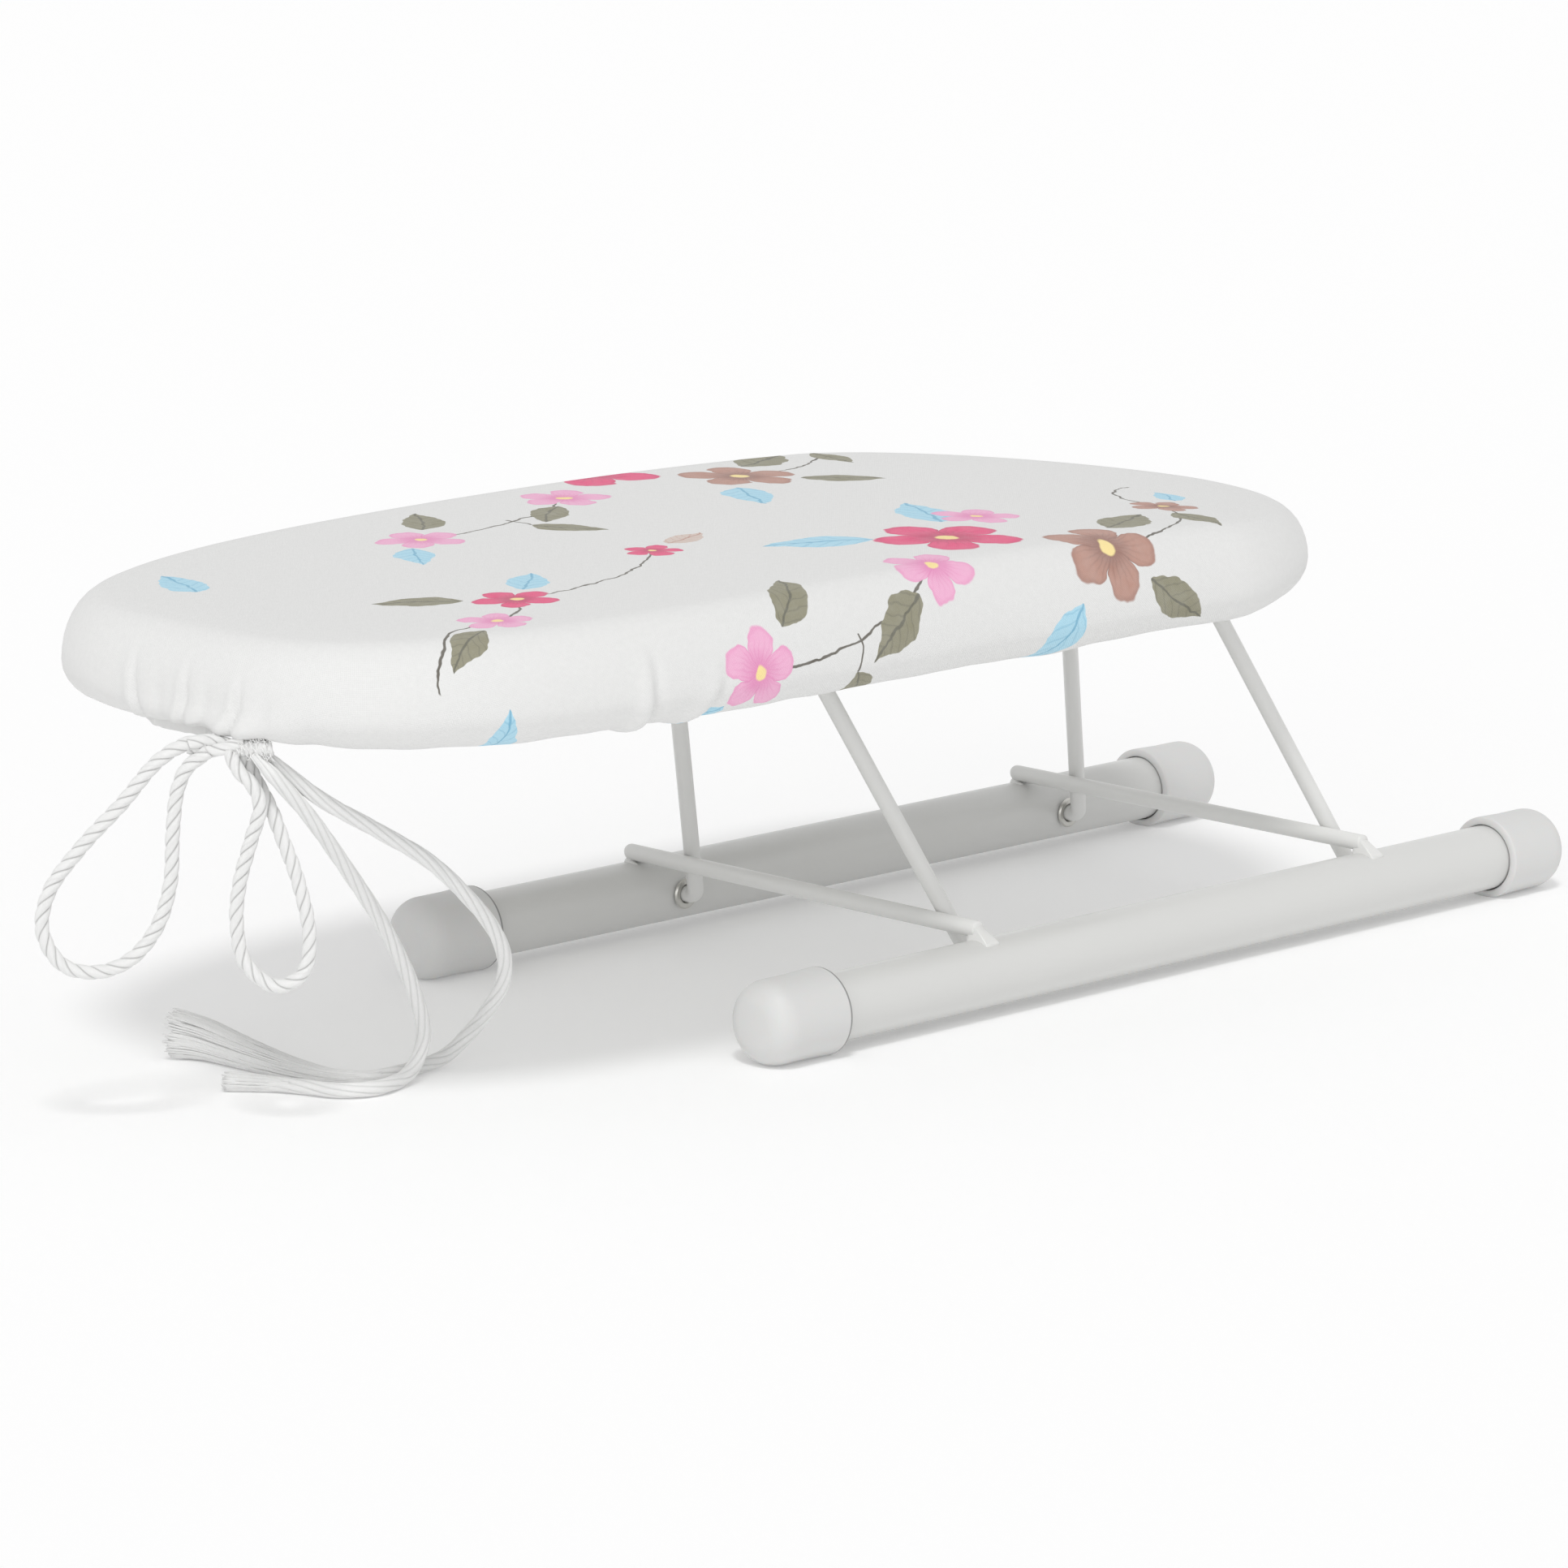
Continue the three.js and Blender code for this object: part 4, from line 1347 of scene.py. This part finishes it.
# a printed motif: its group, and the place under it along and aside of its own direction
def newMotif(name, extra):
    place = {"Vector": "Vector", "X": "Float", "Y": "Float", "Turn": "Float", "Size": "Float"}
    group, into, out = newGroup(name, {**place, "Cloth": "Color", **extra}, {"Colour": "Color"})
    parts = addNode(group, "SeparateXYZ", {0: into["Vector"]})
    across, up = (minus(parts[axis], into[axis]) for axis in "XY")
    cosine, sine = sums("COSINE", into["Turn"]), sums("SINE", into["Turn"])
    along = plus(times(across, cosine), times(up, sine))
    aside = minus(times(up, cosine), times(across, sine))
    return group, into, out, along, aside


# half-drop repeat of the printed tile
def repeatPlace(vector):
    parts = addNode(vector.id_data, "SeparateXYZ", {0: vector})
    wide, high = printRepeat["wide"] * mm, printRepeat["high"] * mm
    x, y = (plus(parts[axis], shift * mm) for axis, shift in zip("XY", printRepeat["shift"]))
    column = sums("FLOOR", sums("DIVIDE", x, wide))
    dropped = plus(y, times(column, high / 2))
    place = {"X": sums("FLOORED_MODULO", x, wide), "Y": sums("FLOORED_MODULO", dropped, high)}
    return addNode(vector.id_data, "CombineXYZ", place)[0]


def makeBlossom():
    group, into, out, along, aside = newMotif(
        "printedBlossom", {"Petal": "Color", "Deep": "Color", "Heart": "Color"})
    reach = sums("DIVIDE", sums("SQRT", plus(times(along, along), times(aside, aside))), into["Size"])
    angle = sums("ARCTAN2", aside, along)
    lobe = sums("ABSOLUTE", sums("COSINE", times(angle, blossomForm["halfPetals"])))
    rounded = times(sums("POWER", lobe, blossomForm["lobeSquare"]), blossomForm["lobe"])
    inside = minus(plus(blossomForm["waist"], rounded), reach)
    veins = softStep(sums("SINE", times(angle, blossomForm["veins"])), 0.2, 1.0)
    deepened = [
        (softStep(reach, 0.62, 0.1), 0.75),        # middle
        (times(veins, softStep(reach, 0.95, 0.15)), 0.45),
        (softStep(inside, 0.14, 0.02), 0.35),        # rim
        (softStep(lobe, 0.16, 0.02), 0.6),        # parting between petals
    ]
    tone = into["Petal"]
    for mask, strength in deepened:
        tone = mixColour(times(mask, strength), tone, into["Deep"])
    tone = mixColour(softStep(reach, 0.17, 0.12), tone, into["Heart"])
    feed(out, {"Colour": mixColour(softStep(inside, -0.02, 0.03), into["Cloth"], tone)})
    return group


def makeLeaf():
    group, into, out, along, aside = newMotif("printedLeaf", {"Blade": "Color", "Vein": "Color"})
    share = sums("DIVIDE", along, into["Size"])
    wide = sums("DIVIDE", aside, into["Size"])
    span = sums("MINIMUM", sums("MAXIMUM", share, 0.0), 1.0)
    curve = sums("SINE", times(sums("POWER", span, leafForm["belly"]), math.pi))
    away = sums("ABSOLUTE", minus(wide, times(span, span, leafForm["arch"])))
    ribs = softStep(sums("SINE", times(minus(span, away), leafForm["ribs"])), 0.7, 1.0)
    tone = mixColour(times(ribs, leafForm["ribShare"]), into["Blade"], into["Vein"])
    tone = mixColour(softStep(away, 0.022, 0.008), tone, into["Vein"])
    inside = softStep(minus(times(curve, leafForm["halfWidth"]), away), 0.0, 0.012)
    feed(out, {"Colour": mixColour(inside, into["Cloth"], tone)})
    return group


def makeStem():
    group, into, out, along, aside = newMotif("printedStem", {"Bow": "Float", "Line": "Color"})
    share = sums("DIVIDE", along, into["Size"])
    ends = times(softStep(share, -0.01, 0.01), softStep(share, 1.01, 0.99))
    centre = times(share, minus(1.0, share), 4.0, into["Bow"], into["Size"])
    away = sums("ABSOLUTE", minus(aside, centre))
    mask = times(softStep(away, stemForm["edge"] * mm, stemForm["solid"] * mm), ends)
    feed(out, {"Colour": mixColour(mask, into["Cloth"], into["Line"])})
    return group


# the print's lines wander a little, as if drawn by hand
def wanderPlace(flat):
    tree = flat.id_data
    values = {"Vector": flat, "Scale": clothLook["wanderScale"], "Detail": 2}
    wander = addNode(tree, "TexNoise", values)["Color"]
    shift = addNode(tree, "VectorMath", {0: wander, 1: (0.5, 0.5, 0.5)}, operation="SUBTRACT")[0]
    small = addNode(tree, "VectorMath", {0: shift, "Scale": clothLook["wander"]}, operation="SCALE")[0]
    return addNode(tree, "VectorMath", {0: flat, 1: small}, operation="ADD")[0]


def makeCoverCloth():
    finish, tree, inputs = newFinish("printedCotton")
    flat = meshMap(tree, "cut")
    weave = useGroup(plainWeave, flat, Pitch=clothLook["pitch"])
    hand = repeatPlace(wanderPlace(flat))
    cloth = mixColour(spread(weave["Shade"], 0.0, 1.0), palette["cloth"], palette["clothShade"])

    def printed(group, x, y, size, turn, **values):
        place = {"X": x * mm, "Y": y * mm, "Size": size * mm, "Turn": turn}
        return useGroup(group, hand, Cloth=cloth, **place, **values)["Colour"]

    blossom, leaf, stem = makeBlossom(), makeLeaf(), makeStem()
    for x, y, toX, toY, bend in stems:
        run = Vector((toX - x, toY - y))
        cloth = printed(stem, x, y, run.length, math.atan2(run.y, run.x), Bow=bend, Line=palette["stem"])
    for *place, tone in leaves:
        cloth = printed(leaf, *place, Blade=palette[tone], Vein=palette[tone + "Deep"])
    for *place, tone in blossoms:
        colours = {"Petal": palette[tone], "Deep": palette[tone + "Deep"], "Heart": palette["heart"]}
        cloth = printed(blossom, *place, **colours)
    wash = spread(noiseOf(flat, clothLook["washScale"], 3, clothLook["washRough"]), 0.0, clothLook["wash"])
    cloth = mixColour(wash, cloth, palette["cloth"])
    pressBump(inputs, weave["Height"], clothLook)
    feed(inputs, {"Base Color": cloth, "Roughness": 0.9, "Sheen Weight": 0.12, "Sheen Roughness": 0.5})
    return finish


coverShape = {"thickness": 0.9, "creases": 80}


def makeCover():
    bm = bmesh.new()
    bm.loops.layers.uv.new("cut")
    rows = coverRows(0.0)
    flatPlace, openLoop = loftBoard(bm, rows, 0.0, crownShares, True)
    flatMap(bm, flatPlace)
    bmesh.ops.recalc_face_normals(bm, faces=bm.faces)
    markCreases(bm, coverShape["creases"])
    area = sum(face.calc_area() for face in bm.faces)
    piece = makePiece("printedCover", bm, makeCoverCloth(), "deck", "cover_cotton", "cover", "hem_cord")
    wall = piece.modifiers.new("clothThickness", "SOLIDIFY")
    wall.thickness = coverShape["thickness"] * mm
    wall.offset = -1


makeCover()
print("cover ready")


# deck, saddles and rivets keep their solids
for node, item in frame["nodes"].items():
    if not item.hide_render:
        item.data.materials.clear()
        item.data.materials.append(deckPaint if node == "deck_tray" else zincPlating)


# the cords and frayed ends get meshes of their own
for piece in [piece for piece, line in cords.values()] + list(frays.values()):
    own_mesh(piece)


# floor and soft studio light
studio = {
    "floorSize": 8.0,
    "floor": 0.88,
    "floorGrain": 1.02,
    "grainScale": 400,
    "floorGlow": 0.14,
    "sky": 0.64,
    "key": {"strength": 0.98, "spread": 12.0, "ahead": 0.61, "aside": 0.02, "down": 1.0},
    "fill": {"strength": 0.62, "spread": 50.0, "ahead": 1.0, "aside": 0.15, "down": 0.2},
}


def makeFloor():
    bm = bmesh.new()
    bmesh.ops.create_grid(bm, x_segments=1, y_segments=1, size=studio["floorSize"] / 2)
    mesh = meshFrom("paleFloor", bm)
    finish, tree, inputs = newFinish("palePaper")
    grain = spread(noiseOf(objectSpot(tree), studio["grainScale"], 2), 0.0, 1.0)
    tone = mixColour(grain, grey(studio["floor"]), grey(studio["floor"] * studio["floorGrain"]))
    feed(inputs, {
        "Base Color": tone,
        "Roughness": 0.9,
        "Specular IOR Level": 0.1,
        "Emission Color": grey(1),
        "Emission Strength": studio["floorGlow"],
    })
    mesh.materials.append(finish)
    addObject("paleFloor", mesh)


def makeLamp(name, facts):
    data = bpy.data.lights.new(name, "SUN")
    data.energy = facts["strength"]
    data.angle = math.radians(facts["spread"])
    azimuth = math.radians(cameraView["azimuth"])
    ahead = Vector((math.sin(azimuth), math.cos(azimuth), 0))
    aside = Vector((math.cos(azimuth), -math.sin(azimuth), 0))
    beam = ahead * facts["ahead"] + aside * facts["aside"] - Vector((0, 0, facts["down"]))
    addObject(name, data).rotation_euler = beam.to_track_quat("-Z", "Y").to_euler()


# a white backdrop to the eye and in reflections, a softer light on the rest
def makeSky():
    world = bpy.data.worlds.new("paleSky")
    world.use_nodes = True
    scene.world = world
    rays = addNode(world.node_tree, "LightPath", {})
    seen = sums("MAXIMUM", rays["Is Camera Ray"], rays["Is Transmission Ray"])
    seen = sums("MAXIMUM", seen, rays["Is Glossy Ray"])
    back = world.node_tree.nodes["Background"].inputs
    feed(back, {"Color": grey(1), "Strength": spread(seen, studio["sky"], 1.0)})


makeFloor()
makeSky()
makeLamp("keyLamp", studio["key"])
makeLamp("fillLamp", studio["fill"])
print("studio lit")
